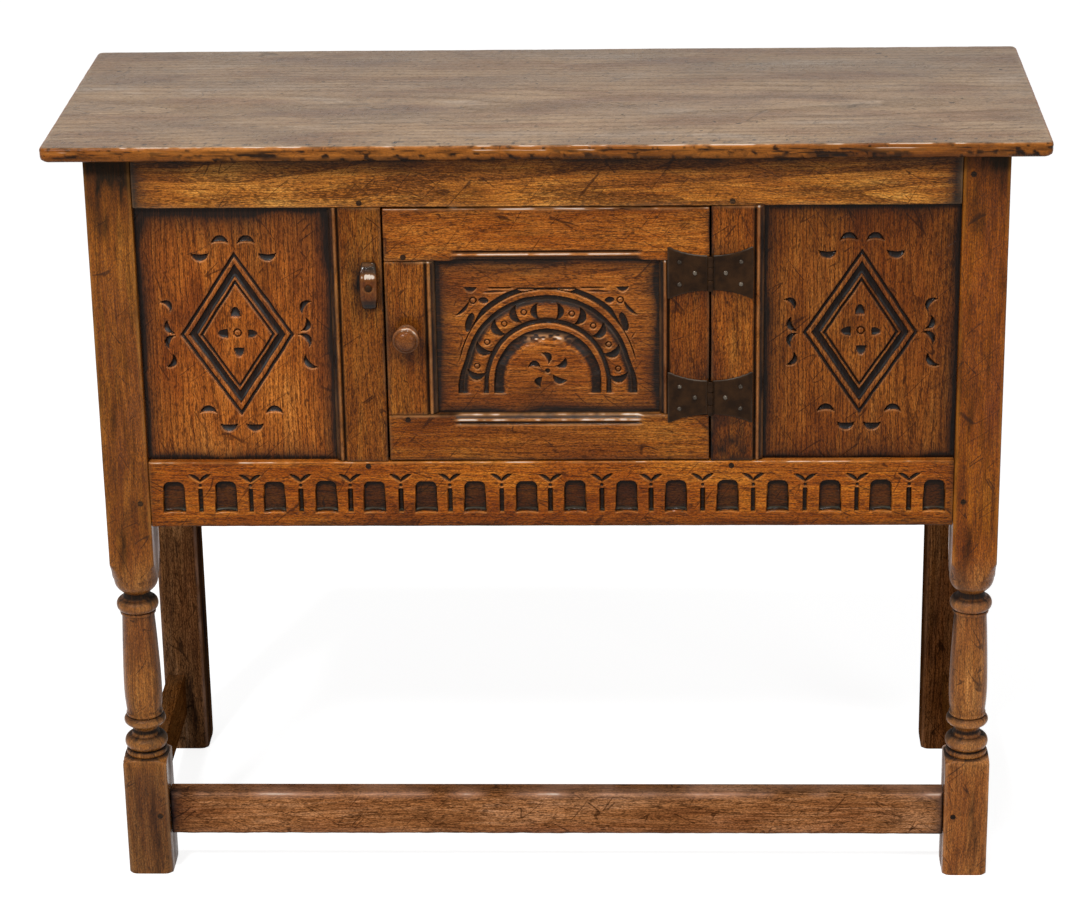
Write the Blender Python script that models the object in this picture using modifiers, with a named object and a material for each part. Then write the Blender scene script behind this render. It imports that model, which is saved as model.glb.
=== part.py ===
"""Oak side cabinet: a joined frame with carved panels, one carved door and a turn button.

Metres, +Z up. The front faces -Y, +X is to the right, and the origin is under the middle of the top.
Every rail is tenoned into its posts, every panel sits loose in grooves, and pegs lock the front joints.
"""
import math

import bmesh
import bpy
from mathutils import Matrix, Vector

# Overall sizes
HEIGHT = 0.877
TOP_WIDTH = 1.066
TOP_DEPTH = 0.409
TOP_THICK = 0.017
TOP_EDGE_ROUND = 0.006
FRONT_OVERHANG = 0.030
BACK_OVERHANG = 0.002
SIDE_OVERHANG = 0.0405
LEG = 0.050
FOOT_ROUND = 0.004

# Rails and stretchers
RAIL_THICK = 0.022
RAIL_SETBACK = 0.0015
TOP_RAIL_HEIGHT = 0.059
BOTTOM_RAIL_TOP = 0.5095
BOTTOM_RAIL_HEIGHT = 0.0765
STRETCHER_BOTTOM = 0.048
STRETCHER_HEIGHT = 0.0535
STRETCHER_THICK = 0.022
FRONT_STRETCHER_SETBACK = 0.008
SIDE_STRETCHER_SETBACK = 0.004

# Joints
FIT = 0.0003
TENON_LENGTH = 0.025
TENON_THICK = 0.008
TENON_SETBACK = 0.007
TENON_SHOULDER = 0.010
MUNTIN_TENON = 0.020
PEG_RADIUS = 0.0032
PEG_PROUD = 0.0006
LEG_PEG_DEPTH = 0.026
RAIL_PEG_DEPTH = 0.0155
PEG_FROM_LEG_EDGE = 0.0105
PEG_FROM_JOINT_LINE = 0.005
DOWEL_RADIUS = 0.005
DOWEL_IN_LEG = 0.022
DOWEL_IN_TOP = 0.010

# Panels, muntins and the cupboard floor
PANEL_THICK = 0.011
PANEL_SETBACK = 0.009
PANEL_TONGUE = 0.006
PANEL_GROOVE = 0.007
PANEL_BEVEL = 0.025
MUNTIN_INNER = 0.1765
MUNTIN_WIDTH = 0.057
MOULD_WIDTH = 0.012
MOULD_DEPTH = 0.0055
FLOOR_TOP = 0.4985
FLOOR_THICK = 0.011
FLOOR_GROOVE = 0.005
STOP_THICK = 0.012
STOP_WIDTH = 0.034
STOP_LAP = 0.010

# Turned part of the front legs: the heights stack from the top of the square foot upwards
FOOT_HEIGHT = 0.137
FOOT_SHOULDER = 0.008
BASE_DISC_HEIGHT = 0.0105
BASE_DISC_RADIUS = 0.0228
TORUS_HEIGHT = 0.0205
TORUS_RADIUS = 0.0242
LOWER_NECK_HEIGHT = 0.014
NECK_RADIUS = 0.0145
LOWER_RING_HEIGHT = 0.012
RING_RADIUS = 0.0238
RING_ROOT = 0.0175
SHAFT_HEIGHT = 0.130
SHAFT_FOOT_RADIUS = 0.0195
SHAFT_BELLY_RADIUS = 0.0215
SHAFT_TOP_RADIUS = 0.018
SHAFT_BELLY_SHARE = 0.26
UPPER_RING_HEIGHT = 0.0145
UPPER_NECK_HEIGHT = 0.0085
SHOULDER_HEIGHT = 0.010
SHOULDER_BAND = 0.013
POMMEL_HEIGHT = 0.018
POMMEL_SPREAD = 0.008
LATHE_STEPS = 20

# Door
DOOR_GAP = 0.0018
DOOR_STILE = 0.054
DOOR_TOP_RAIL = 0.059
DOOR_BOTTOM_RAIL = 0.0525
DOOR_TENON = 0.025
DOOR_MOULD_STOP = 0.018

# Butterfly hinges
HINGE_SPACING = 0.142
HINGE_REACH = 0.046
HINGE_END = 0.060
HINGE_WAIST = 0.039
HINGE_PLATE = 0.0018
KNUCKLE_RADIUS = 0.0035
KNUCKLE_SIDES = 14
MIDDLE_KNUCKLE = 0.014
PIN_RADIUS = 0.0018
NAIL_RADIUS = 0.0026
NAIL_DOME = 0.0013
NAIL_FROM_END = 0.0095
NAIL_FROM_CORNER = 0.012
NAIL_FROM_KNUCKLE = 0.013

# Knob and turn button
KNOB_FROM_EDGE = 0.0227
KNOB_ABOVE_MIDDLE = 0.002
KNOB_RADIUS = 0.0145
KNOB_HEAD = 0.017
KNOB_NECK = 0.0065
KNOB_NECK_RADIUS = 0.007
KNOB_ROSE = 0.0045
KNOB_ROSE_RADIUS = 0.0119
SPIGOT_RADIUS = 0.005
SPIGOT_LENGTH = 0.016
BUTTON_FROM_EDGE = 0.0145
BUTTON_BELOW_RAIL = 0.0867
BUTTON_LENGTH = 0.053
BUTTON_WIDTH = 0.0185
BUTTON_THICK = 0.013
BUTTON_SCREW_RADIUS = 0.0025
BUTTON_HEAD_RADIUS = 0.004
BUTTON_HEAD_HEIGHT = 0.0015
BUTTON_SCREW_DEPTH = 0.015
BUTTON_FACET_SLOPE = math.radians(38)
BUTTON_FACET_SHARE = 0.62

# Carving
FRIEZE_NICHES = 16
NICHE_PITCH = 0.0558
NICHE_WIDTH = 0.026
NICHE_HEIGHT = 0.036
NICHE_BOTTOM = 0.0175
NICHE_SHOULDER = 0.008
NICHE_DEPTH = 0.005
FLUTE_WIDTH = 0.006
FLUTE_HEIGHT = 0.028
FLUTE_DEPTH = 0.002
GULL_SPAN = 0.024
GULL_RISE = 0.0425
GULL_DROP = 0.0072
LOZENGE_HALF_WIDTH = 0.0615
LOZENGE_HALF_HEIGHT = 0.094
LOZENGE_LINE = 0.003
LOZENGE_CHANNEL_START = 0.0078
LOZENGE_CHANNEL_END = 0.0155
LOZENGE_INNER_LINE = 0.0172
LINE_DEPTH = 0.0015
CHANNEL_DEPTH = 0.0035
PETAL_LENGTH = 0.011
PETAL_WIDTH = 0.009
GOUGE_WIDTH = 0.019
GOUGE_HEIGHT = 0.0085
GOUGE_DEPTH = 0.002
GOUGE_INNER = 0.0142
GOUGE_OUTER = 0.0364
GOUGE_BELOW_TIP = 0.002
GOUGE_ABOVE_TIP = 0.0095
PETAL_UP = 0.023
PETAL_OUT = 0.0161
LUNETTE_RISE = 0.022
LUNETTE_STILT = 0.009
LUNETTE_STILT_SLOPE = 0.14
LUNETTE_OUTER_CUT = (0.0906, 0.0869)
LUNETTE_MIDDLE_CUT = (0.0667, 0.0627)
LUNETTE_INNER_CUT = (0.0572, 0.0425)
LUNETTE_DISCS = 9
DISC_CIRCLE = 0.0768
DISC_CUT_RADIUS = 0.0075
WHIRL_CUTS = 5
WHIRL_RISE = 0.0267
WHIRL_CIRCLE = 0.0155
WHIRL_CUT_LENGTH = 0.013
WHIRL_CUT_WIDTH = 0.006
WHIRL_TWIST = 0.6

# Planes and levels worked out from the sizes above
CUT_MARGIN = 0.001
ROOT = 0.005
FRONT = FRONT_OVERHANG - TOP_DEPTH / 2
BACK = TOP_DEPTH / 2 - BACK_OVERHANG
SIDE = TOP_WIDTH / 2 - SIDE_OVERHANG
TOP_UNDERSIDE = HEIGHT - TOP_THICK
CASE_TOP = TOP_UNDERSIDE - FIT
TOP_RAIL_BOTTOM = CASE_TOP - TOP_RAIL_HEIGHT
BOTTOM_RAIL_BOTTOM = BOTTOM_RAIL_TOP - BOTTOM_RAIL_HEIGHT
PANEL_FACE = RAIL_SETBACK + PANEL_SETBACK
RAIL_BACK = RAIL_SETBACK + RAIL_THICK
MUNTIN_OUTER = MUNTIN_INNER + MUNTIN_WIDTH
FRONT_FACE = FRONT + RAIL_SETBACK
DOOR_HALF = MUNTIN_INNER - DOOR_GAP
DOOR_LOW = BOTTOM_RAIL_TOP + DOOR_GAP
DOOR_HIGH = TOP_RAIL_BOTTOM - DOOR_GAP
DOOR_OPENING = DOOR_HALF - DOOR_STILE
DOOR_PANEL_LOW = DOOR_LOW + DOOR_BOTTOM_RAIL
DOOR_PANEL_HIGH = DOOR_HIGH - DOOR_TOP_RAIL
HINGE_MIDDLE = (DOOR_LOW + DOOR_HIGH) / 2
HINGE_AXIS = Vector((MUNTIN_INNER - DOOR_GAP / 2, FRONT_FACE - FIT - KNUCKLE_RADIUS, HINGE_MIDDLE))
KNOB_X = KNOB_FROM_EDGE - DOOR_HALF
KNOB_Z = HINGE_MIDDLE + KNOB_ABOVE_MIDDLE
BUTTON_X = -MUNTIN_INNER - BUTTON_FROM_EDGE
BUTTON_Z = TOP_RAIL_BOTTOM - BUTTON_BELOW_RAIL
GROOVE_IN = (PANEL_FACE - FIT, PANEL_FACE + PANEL_TONGUE + FIT)

NAIL_HEIGHT = HINGE_END / 2 - NAIL_FROM_CORNER
NAIL_OUT = HINGE_REACH - NAIL_FROM_END
NAILS = ((NAIL_OUT, NAIL_HEIGHT), (NAIL_OUT, -NAIL_HEIGHT), (KNUCKLE_RADIUS + NAIL_FROM_KNUCKLE, 0))

TOP_RAIL = (TOP_RAIL_BOTTOM, CASE_TOP)
BOTTOM_RAIL = (BOTTOM_RAIL_BOTTOM, BOTTOM_RAIL_TOP)
STRETCHER = (STRETCHER_BOTTOM, STRETCHER_BOTTOM + STRETCHER_HEIGHT)
CASE_RAILS = ((TOP_RAIL, RAIL_SETBACK, RAIL_THICK), (BOTTOM_RAIL, RAIL_SETBACK, RAIL_THICK))
FRONT_STRETCHER = (STRETCHER, FRONT_STRETCHER_SETBACK, STRETCHER_THICK)
SIDE_STRETCHER = (STRETCHER, SIDE_STRETCHER_SETBACK, STRETCHER_THICK)

# Each wall's rails run between the inner faces of two legs
SPANS = {
    "front": (LEG - SIDE, SIDE - LEG),
    "back": (LEG - SIDE, SIDE - LEG),
    "left": (FRONT + LEG, BACK - LEG),
    "right": (FRONT + LEG, BACK - LEG),
}
MEMBERS = {
    "front": CASE_RAILS + (FRONT_STRETCHER,),
    "back": CASE_RAILS,
    "left": CASE_RAILS + (SIDE_STRETCHER,),
    "right": CASE_RAILS + (SIDE_STRETCHER,),
}


# Scene, materials and objects
def clear_scene():
    for item in list(bpy.data.objects):
        bpy.data.objects.remove(item)


def make_collection(name):
    collection = bpy.data.collections.new(name)
    bpy.context.scene.collection.children.link(collection)
    return collection


def make_material(name, colour, roughness, metallic):
    material = bpy.data.materials.new(name)
    material.use_nodes = True
    shader = material.node_tree.nodes["Principled BSDF"]
    shader.inputs["Base Color"].default_value = (*colour, 1)
    shader.inputs["Roughness"].default_value = roughness
    shader.inputs["Metallic"].default_value = metallic
    return material


clear_scene()
PARTS = make_collection("side_cabinet")
CUTTERS = make_collection("side_cabinet_cutters")
OAK_TOP = make_material("oak_top", (0.16, 0.085, 0.04), 0.4, 0)
OAK_FRAME = make_material("oak_frame", (0.20, 0.085, 0.028), 0.45, 0)
OAK_PANEL = make_material("oak_panel", (0.18, 0.07, 0.022), 0.45, 0)
OAK_TURNED = make_material("oak_turned", (0.15, 0.065, 0.024), 0.4, 0)
OAK_INSIDE = make_material("oak_inside", (0.22, 0.12, 0.055), 0.6, 0)
OAK_PEG = make_material("oak_peg", (0.06, 0.025, 0.01), 0.5, 0)
FRUITWOOD = make_material("fruitwood", (0.16, 0.05, 0.018), 0.3, 0)
IRON = make_material("dark_iron", (0.03, 0.022, 0.018), 0.45, 0.9)


def add_object(name, mesh, material, parent=None, origin=(0, 0, 0)):
    piece = bpy.data.objects.new(name, mesh)
    piece.location = Vector(origin)
    if parent:
        piece.parent = parent
        piece.location -= parent.location
    mesh.materials.append(material)
    PARTS.objects.link(piece)
    return piece


def add_cutter(name, mesh):
    cutter = bpy.data.objects.new(name, mesh)
    cutter.hide_render = True
    cutter.display_type = "WIRE"
    CUTTERS.objects.link(cutter)
    return cutter


# Meshes from primitives and outlines
def mesh_of(name, work):
    mesh = bpy.data.meshes.new(name)
    work.to_mesh(mesh)
    work.free()
    return mesh


def add_cube(work, low, high):
    size = Matrix.Diagonal((*(high - low), 1))
    return bmesh.ops.create_cube(work, size=1, matrix=Matrix.Translation((low + high) / 2) @ size)


def boxes_mesh(name, boxes):
    work = bmesh.new()
    for low, high in boxes:
        add_cube(work, low, high)
    return mesh_of(name, work)


def add_cylinder(work, centre, radius, length, axis, sides):
    turn = Matrix.Rotation(math.pi / 2, 4, "X") if axis == "Y" else Matrix.Identity(4)
    bmesh.ops.create_cone(work, cap_ends=True, segments=sides, radius1=radius, radius2=radius,
                          depth=length, matrix=Matrix.Translation(centre) @ turn)


def outline_mesh(name, outlines, thickness, upright):
    """A flat 2D curve with thickness, standing in the XZ plane if upright, else lying in XY."""
    curve = bpy.data.curves.new(name, "CURVE")
    curve.dimensions = "2D"
    curve.fill_mode = "BOTH"
    curve.extrude = thickness / 2
    for outline in outlines:
        spline = curve.splines.new("POLY")
        spline.points.add(len(outline) - 1)
        spline.use_cyclic_u = True
        for point, place in zip(spline.points, outline):
            point.co = (*place, 0, 1)
    holder = bpy.data.objects.new(name, curve)
    CUTTERS.objects.link(holder)
    mesh = bpy.data.meshes.new_from_object(holder.evaluated_get(bpy.context.evaluated_depsgraph_get()))
    bpy.data.objects.remove(holder)
    work = bmesh.new()
    work.from_mesh(mesh)
    bmesh.ops.remove_doubles(work, verts=work.verts, dist=1e-6)
    bmesh.ops.recalc_face_normals(work, faces=work.faces)
    if upright:
        bmesh.ops.rotate(work, verts=work.verts, matrix=Matrix.Rotation(math.pi / 2, 3, "X"))
    work.to_mesh(mesh)
    work.free()
    return mesh


def move_mesh(mesh, offset):
    mesh.transform(Matrix.Translation(offset))
    return mesh


def lathe_mesh(name, profile):
    """A profile of (radius, height) points, from top to bottom, for a Screw modifier."""
    work = bmesh.new()
    ring = [work.verts.new((radius, 0, height)) for radius, height in profile]
    for upper, lower in zip(ring, ring[1:]):
        work.edges.new((upper, lower))
    return mesh_of(name, work)


def add_screw(item, steps):
    screw = item.modifiers.new("Screw", "SCREW")
    screw.axis = "Z"
    screw.steps = steps
    screw.render_steps = steps
    screw.use_merge_vertices = True
    screw.merge_threshold = 0.00001
    screw.use_smooth_shade = True


# Boolean helpers
def combine(piece, mesh, operation):
    cutter = add_cutter(f"{piece.name}_{operation.lower()}_{len(piece.modifiers)}", mesh)
    change = piece.modifiers.new(operation.title(), "BOOLEAN")
    change.operation = operation
    change.solver = "EXACT"
    change.object = cutter
    return cutter


def cut_boxes(piece, boxes):
    combine(piece, boxes_mesh("cut", boxes), "DIFFERENCE")


def join_boxes(piece, boxes):
    combine(piece, boxes_mesh("join", boxes), "UNION")


def cut_holes(piece, holes, radius, sides):
    """Round holes along Y, each given by its x, z and its two ends in y."""
    work = bmesh.new()
    for x, z, near, far in holes:
        add_cylinder(work, (x, (near + far) / 2, z), radius, far - near, "Y", sides)
    combine(piece, mesh_of("holes", work), "DIFFERENCE")


def engrave(piece, outlines, face, depth):
    mesh = outline_mesh("engraving", outlines, depth + CUT_MARGIN, True)
    move_mesh(mesh, (0, face + (depth - CUT_MARGIN) / 2, 0))
    combine(piece, mesh, "DIFFERENCE")


# Places on the four walls of the case
def place(wall, along, inward, up):
    if wall == "front":
        return Vector((along, FRONT + inward, up))
    if wall == "back":
        return Vector((along, BACK - inward, up))
    if wall == "left":
        return Vector((inward - SIDE, along, up))
    return Vector((SIDE - inward, along, up))


def sorted_box(first, second):
    low = Vector(map(min, first, second))
    high = Vector(map(max, first, second))
    return low, high


def wall_box(wall, along, inward, up):
    return sorted_box(place(wall, along[0], inward[0], up[0]), place(wall, along[1], inward[1], up[1]))


def tenon_box(wall, at_end, member, grow):
    """The tenon of a rail at one end of its wall, or its mortise where grow is the clearance."""
    up, setback, thick = member
    overlap = CUT_MARGIN if grow else ROOT
    edge = SPANS[wall][1] if at_end else SPANS[wall][0]
    sign = 1 if at_end else -1
    cheek = setback + min(TENON_SETBACK, (thick - TENON_THICK) / 2)
    along = (edge - sign * overlap, edge + sign * (TENON_LENGTH + grow))
    inward = (cheek - grow, cheek + TENON_THICK + grow)
    return wall_box(wall, along, inward, (up[0] + TENON_SHOULDER - grow, up[1] - TENON_SHOULDER + grow))


def leg_groove(wall, at_end):
    edge = SPANS[wall][1] if at_end else SPANS[wall][0]
    sign = 1 if at_end else -1
    reach = PANEL_GROOVE + FIT
    along = (edge - sign * CUT_MARGIN, edge + sign * reach)
    return wall_box(wall, along, GROOVE_IN, (BOTTOM_RAIL_TOP - reach, TOP_RAIL_BOTTOM + reach))


# Pegs and dowels: their places come first, because the legs and rails are drilled for them
LEG_PEGS = {
    "peg_top_rail": TOP_RAIL_BOTTOM + TOP_RAIL_HEIGHT * 0.57,
    "peg_bottom_rail": BOTTOM_RAIL_BOTTOM + BOTTOM_RAIL_HEIGHT * 0.37,
    "peg_stretcher": STRETCHER_BOTTOM + STRETCHER_HEIGHT / 2,
}
RAIL_PEGS = {
    "peg_muntin_top": TOP_RAIL_BOTTOM + PEG_FROM_JOINT_LINE,
    "peg_muntin_bottom": BOTTOM_RAIL_TOP - PEG_FROM_JOINT_LINE,
}
DOOR_PEGS = {
    "door_peg_top": DOOR_PANEL_HIGH + PEG_FROM_JOINT_LINE,
    "door_peg_bottom": DOOR_PANEL_LOW - PEG_FROM_JOINT_LINE,
}
LEG_PEG_X = SIDE - LEG + PEG_FROM_LEG_EDGE
MUNTIN_PEG_X = MUNTIN_INNER + (MUNTIN_WIDTH - MOULD_WIDTH) / 2
DOOR_PEG_X = -DOOR_HALF + (DOOR_STILE - MOULD_WIDTH) / 2
PEG_SIDES = 8


def make_peg(name, x, z, face, depth, parent=None):
    work = bmesh.new()
    add_cylinder(work, (0, 0, 0), PEG_RADIUS, depth + PEG_PROUD, "Y", PEG_SIDES)
    add_object(name, mesh_of(name, work), OAK_PEG, parent, (x, face + (depth - PEG_PROUD) / 2, z))


def make_pegs(door):
    for side, sign in (("left", -1), ("right", 1)):
        for name, z in LEG_PEGS.items():
            make_peg(f"{name}_{side}", sign * LEG_PEG_X, z, FRONT, LEG_PEG_DEPTH)
        for name, z in RAIL_PEGS.items():
            make_peg(f"{name}_{side}", sign * MUNTIN_PEG_X, z, FRONT_FACE, RAIL_PEG_DEPTH)
    for name, z in DOOR_PEGS.items():
        make_peg(name, DOOR_PEG_X, z, FRONT_FACE, RAIL_PEG_DEPTH, door)


def both_sides(x, z):
    return [(-x, z), (x, z)]


def drill_for_pegs(piece, places, face, depth):
    holes = [(x, z, face - CUT_MARGIN, face + depth + FIT) for x, z in places]
    cut_holes(piece, holes, PEG_RADIUS + FIT, PEG_SIDES)


def dowel_mesh(places, grow):
    work = bmesh.new()
    length = DOWEL_IN_LEG + DOWEL_IN_TOP + 2 * grow
    middle = TOP_UNDERSIDE + (DOWEL_IN_TOP - DOWEL_IN_LEG) / 2
    for x, y in places:
        add_cylinder(work, (x, y, middle), DOWEL_RADIUS + grow, length, "Z", PEG_SIDES)
    return mesh_of("dowel", work)


LEG_CENTRES = {
    "front_left": (LEG / 2 - SIDE, FRONT + LEG / 2),
    "front_right": (SIDE - LEG / 2, FRONT + LEG / 2),
    "back_left": (LEG / 2 - SIDE, BACK - LEG / 2),
    "back_right": (SIDE - LEG / 2, BACK - LEG / 2),
}


# Top
def make_top():
    low = Vector((-TOP_WIDTH / 2, -TOP_DEPTH / 2, TOP_UNDERSIDE))
    high = Vector((TOP_WIDTH / 2, TOP_DEPTH / 2, HEIGHT))
    top = add_object("top_board", boxes_mesh("top_board", [(low, high)]), OAK_TOP)
    bevel = top.modifiers.new("Edges", "BEVEL")
    bevel.width = TOP_EDGE_ROUND
    bevel.segments = 3
    combine(top, dowel_mesh(LEG_CENTRES.values(), FIT), "DIFFERENCE")
    for corner, centre in LEG_CENTRES.items():
        add_object(f"top_dowel_{corner}", dowel_mesh([centre], 0), OAK_INSIDE)


# Legs
def arc(centre, height, radius, rise, start, end, count):
    """Points on an ellipse in the lathe's half plane, by angles in degrees from straight out."""
    points = []
    for step in range(count):
        angle = math.radians(start + (end - start) * step / (count - 1))
        points.append((centre + radius * math.cos(angle), height + rise * math.sin(angle)))
    return points


def bulge(low, height, root, peak, count):
    """A half round ring of a turning, from its lower edge to its upper edge."""
    points = []
    for step in range(count):
        angle = math.pi * step / (count - 1)
        up = low + height * (1 - math.cos(angle)) / 2
        points.append((root + (peak - root) * math.sin(angle), up))
    return points


def leg_profile():
    """Lathe profile of a front leg, top to bottom; outside the turning it clears the square post."""
    half = LEG / 2
    outside = LEG
    level = FOOT_HEIGHT
    profile = [(0, -LEG), (outside, -LEG), (outside, level - 2 * FOOT_SHOULDER)]
    profile += [(half + FOOT_SHOULDER, level - FOOT_SHOULDER), (half, level), (BASE_DISC_RADIUS, level)]
    level += BASE_DISC_HEIGHT
    profile.append((BASE_DISC_RADIUS, level))
    profile += bulge(level, TORUS_HEIGHT, RING_ROOT, TORUS_RADIUS, 8)
    level += TORUS_HEIGHT
    profile += [(NECK_RADIUS, level + LOWER_NECK_HEIGHT / 3), (NECK_RADIUS, level + LOWER_NECK_HEIGHT / 2)]
    level += LOWER_NECK_HEIGHT
    profile += bulge(level, LOWER_RING_HEIGHT, RING_ROOT, RING_RADIUS, 6)
    level += LOWER_RING_HEIGHT
    belly = SHAFT_HEIGHT * SHAFT_BELLY_SHARE
    profile += [(SHAFT_FOOT_RADIUS, level), (SHAFT_BELLY_RADIUS, level + belly)]
    profile.append(((SHAFT_BELLY_RADIUS + SHAFT_TOP_RADIUS) / 2, level + SHAFT_HEIGHT - belly))
    level += SHAFT_HEIGHT
    profile.append((SHAFT_TOP_RADIUS, level))
    profile += bulge(level, UPPER_RING_HEIGHT, RING_ROOT, RING_RADIUS, 6)
    level += UPPER_RING_HEIGHT
    profile += [(NECK_RADIUS, level + UPPER_NECK_HEIGHT / 3), (NECK_RADIUS, level + UPPER_NECK_HEIGHT)]
    level += UPPER_NECK_HEIGHT
    profile += arc(NECK_RADIUS, level + SHOULDER_HEIGHT, half - NECK_RADIUS, SHOULDER_HEIGHT, -70, 0, 5)
    level += SHOULDER_HEIGHT + SHOULDER_BAND
    profile += [(half, level), (half + POMMEL_SPREAD, level + POMMEL_HEIGHT * 2 / 3)]
    profile += [(outside, level + POMMEL_HEIGHT), (outside, HEIGHT), (0, HEIGHT)]
    return profile[::-1]


def leg_joints(walls):
    boxes = []
    for wall, at_end in walls:
        boxes += [tenon_box(wall, at_end, member, FIT) for member in MEMBERS[wall]]
        boxes.append(leg_groove(wall, at_end))
    return boxes


def square_post(name, centre):
    x, y = centre
    low = Vector((x - LEG / 2, y - LEG / 2, 0))
    high = Vector((x + LEG / 2, y + LEG / 2, CASE_TOP))
    work = bmesh.new()
    add_cube(work, low, high)
    sole = [edge for edge in work.edges if all(vert.co.z < CUT_MARGIN for vert in edge.verts)]
    bmesh.ops.bevel(work, geom=sole, offset=FOOT_ROUND, segments=2, profile=0.5, affect="EDGES")
    return mesh_of(name, work)


def make_leg(corner, walls):
    name = f"{corner}_leg"
    centre = LEG_CENTRES[corner]
    turned = corner.startswith("front")
    leg = add_object(name, square_post(name, centre), OAK_TURNED if turned else OAK_FRAME)
    if turned:
        blank = combine(leg, lathe_mesh("turning", leg_profile()), "INTERSECT")
        blank.location = (*centre, 0)
        add_screw(blank, LATHE_STEPS)
    cut_boxes(leg, leg_joints(walls))
    combine(leg, dowel_mesh([centre], FIT), "DIFFERENCE")
    if turned:
        sign = 1 if centre[0] > 0 else -1
        places = [(sign * LEG_PEG_X, z) for z in LEG_PEGS.values()]
        drill_for_pegs(leg, places, FRONT, LEG_PEG_DEPTH)


def make_legs():
    make_leg("front_left", (("front", False), ("left", False)))
    make_leg("front_right", (("front", True), ("right", False)))
    make_leg("back_left", (("back", False), ("left", True)))
    make_leg("back_right", (("back", True), ("right", True)))


# Rails and stretchers
def make_rail(name, wall, member, material):
    up, setback, thick = member
    start, end = SPANS[wall]
    box = wall_box(wall, (start + FIT, end - FIT), (setback, setback + thick), up)
    rail = add_object(name, boxes_mesh(name, [box]), material)
    join_boxes(rail, [tenon_box(wall, at_end, member, 0) for at_end in (False, True)])
    return rail


def panel_groove(wall, along, upper):
    """The groove for a panel's edge, under a top rail if upper, else on top of a bottom rail."""
    depth = PANEL_GROOVE + FIT
    up = (TOP_RAIL_BOTTOM - CUT_MARGIN, TOP_RAIL_BOTTOM + depth)
    if not upper:
        up = (BOTTOM_RAIL_TOP - depth, BOTTOM_RAIL_TOP + CUT_MARGIN)
    return wall_box(wall, along, GROOVE_IN, up)


def floor_groove(wall):
    start, end = SPANS[wall]
    inward = (RAIL_BACK - FLOOR_GROOVE - FIT, RAIL_BACK + CUT_MARGIN)
    return wall_box(wall, (start - CUT_MARGIN, end + CUT_MARGIN), inward,
                    (FLOOR_TOP - FLOOR_THICK - FIT, FLOOR_TOP + FIT))


def make_plain_wall(wall):
    """Top rail, bottom rail and plain panel of a side or of the back."""
    prefix = "back" if wall == "back" else f"{wall}_side"
    start, end = SPANS[wall]
    whole = (start - CUT_MARGIN, end + CUT_MARGIN)
    upper = make_rail(f"{prefix}_top_rail", wall, MEMBERS[wall][0], OAK_FRAME)
    cut_boxes(upper, [panel_groove(wall, whole, True)])
    lower = make_rail(f"{prefix}_bottom_rail", wall, MEMBERS[wall][1], OAK_FRAME)
    cut_boxes(lower, [panel_groove(wall, whole, False), floor_groove(wall)])
    make_panel(f"{prefix}_panel", wall, SPANS[wall])


def muntin_mortise(sign, upper):
    along = (sign * (MUNTIN_INNER + TENON_SHOULDER - FIT), sign * (MUNTIN_OUTER - TENON_SHOULDER + FIT))
    cheek = RAIL_SETBACK + TENON_SETBACK
    up = (TOP_RAIL_BOTTOM - CUT_MARGIN, TOP_RAIL_BOTTOM + MUNTIN_TENON + FIT)
    if not upper:
        up = (BOTTOM_RAIL_TOP - MUNTIN_TENON - FIT, BOTTOM_RAIL_TOP + CUT_MARGIN)
    return wall_box("front", along, (cheek - FIT, cheek + TENON_THICK + FIT), up)


def front_rail_cuts(upper):
    boxes = []
    reach = MUNTIN_OUTER - PANEL_GROOVE - FIT
    for sign in (-1, 1):
        edge = sign * (SIDE - LEG + CUT_MARGIN)
        boxes.append(panel_groove("front", (edge, sign * reach), upper))
        boxes.append(muntin_mortise(sign, upper))
    return boxes


def make_front_rails():
    top_rail, bottom_rail, stretcher = MEMBERS["front"]
    for upper in (True, False):
        name = "front_top_rail" if upper else "front_bottom_rail"
        rail = make_rail(name, "front", top_rail if upper else bottom_rail, OAK_FRAME)
        extra = []
        if not upper:
            carve_frieze(rail)
            extra = [floor_groove("front")]
        cut_boxes(rail, front_rail_cuts(upper) + extra)
        leg_peg = LEG_PEGS["peg_top_rail" if upper else "peg_bottom_rail"]
        muntin_peg = RAIL_PEGS["peg_muntin_top" if upper else "peg_muntin_bottom"]
        drill_for_pegs(rail, both_sides(LEG_PEG_X, leg_peg), FRONT, LEG_PEG_DEPTH)
        drill_for_pegs(rail, both_sides(MUNTIN_PEG_X, muntin_peg), FRONT_FACE, RAIL_PEG_DEPTH)
    bar = make_rail("front_stretcher", "front", stretcher, OAK_FRAME)
    drill_for_pegs(bar, both_sides(LEG_PEG_X, LEG_PEGS["peg_stretcher"]), FRONT, LEG_PEG_DEPTH)


def make_side_stretchers():
    for wall in ("left", "right"):
        make_rail(f"{wall}_side_stretcher", wall, SIDE_STRETCHER, OAK_FRAME)


# Panels, muntins, floor and door stop
def make_panel_board(name, wall, along, up, inward, parent=None, origin=(0, 0, 0)):
    """A board whose edges are thinned to a tongue by a bevel on the hidden side."""
    work = bmesh.new()
    low, high = wall_box(wall, along, (inward, inward + PANEL_TONGUE), up)
    add_cube(work, low, high)
    work.normal_update()
    hidden = place(wall, 0, 1, 0) - place(wall, 0, 0, 0)
    back = max(work.faces, key=lambda face: face.normal.dot(hidden))
    for inset in (PANEL_GROOVE + CUT_MARGIN, PANEL_BEVEL):
        bmesh.ops.inset_region(work, faces=[back], thickness=inset, use_even_offset=True)
    bmesh.ops.translate(work, verts=back.verts, vec=hidden * (PANEL_THICK - PANEL_TONGUE))
    bmesh.ops.translate(work, verts=work.verts, vec=-Vector(origin))
    return add_object(name, mesh_of(name, work), OAK_PANEL, parent, origin)


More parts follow.
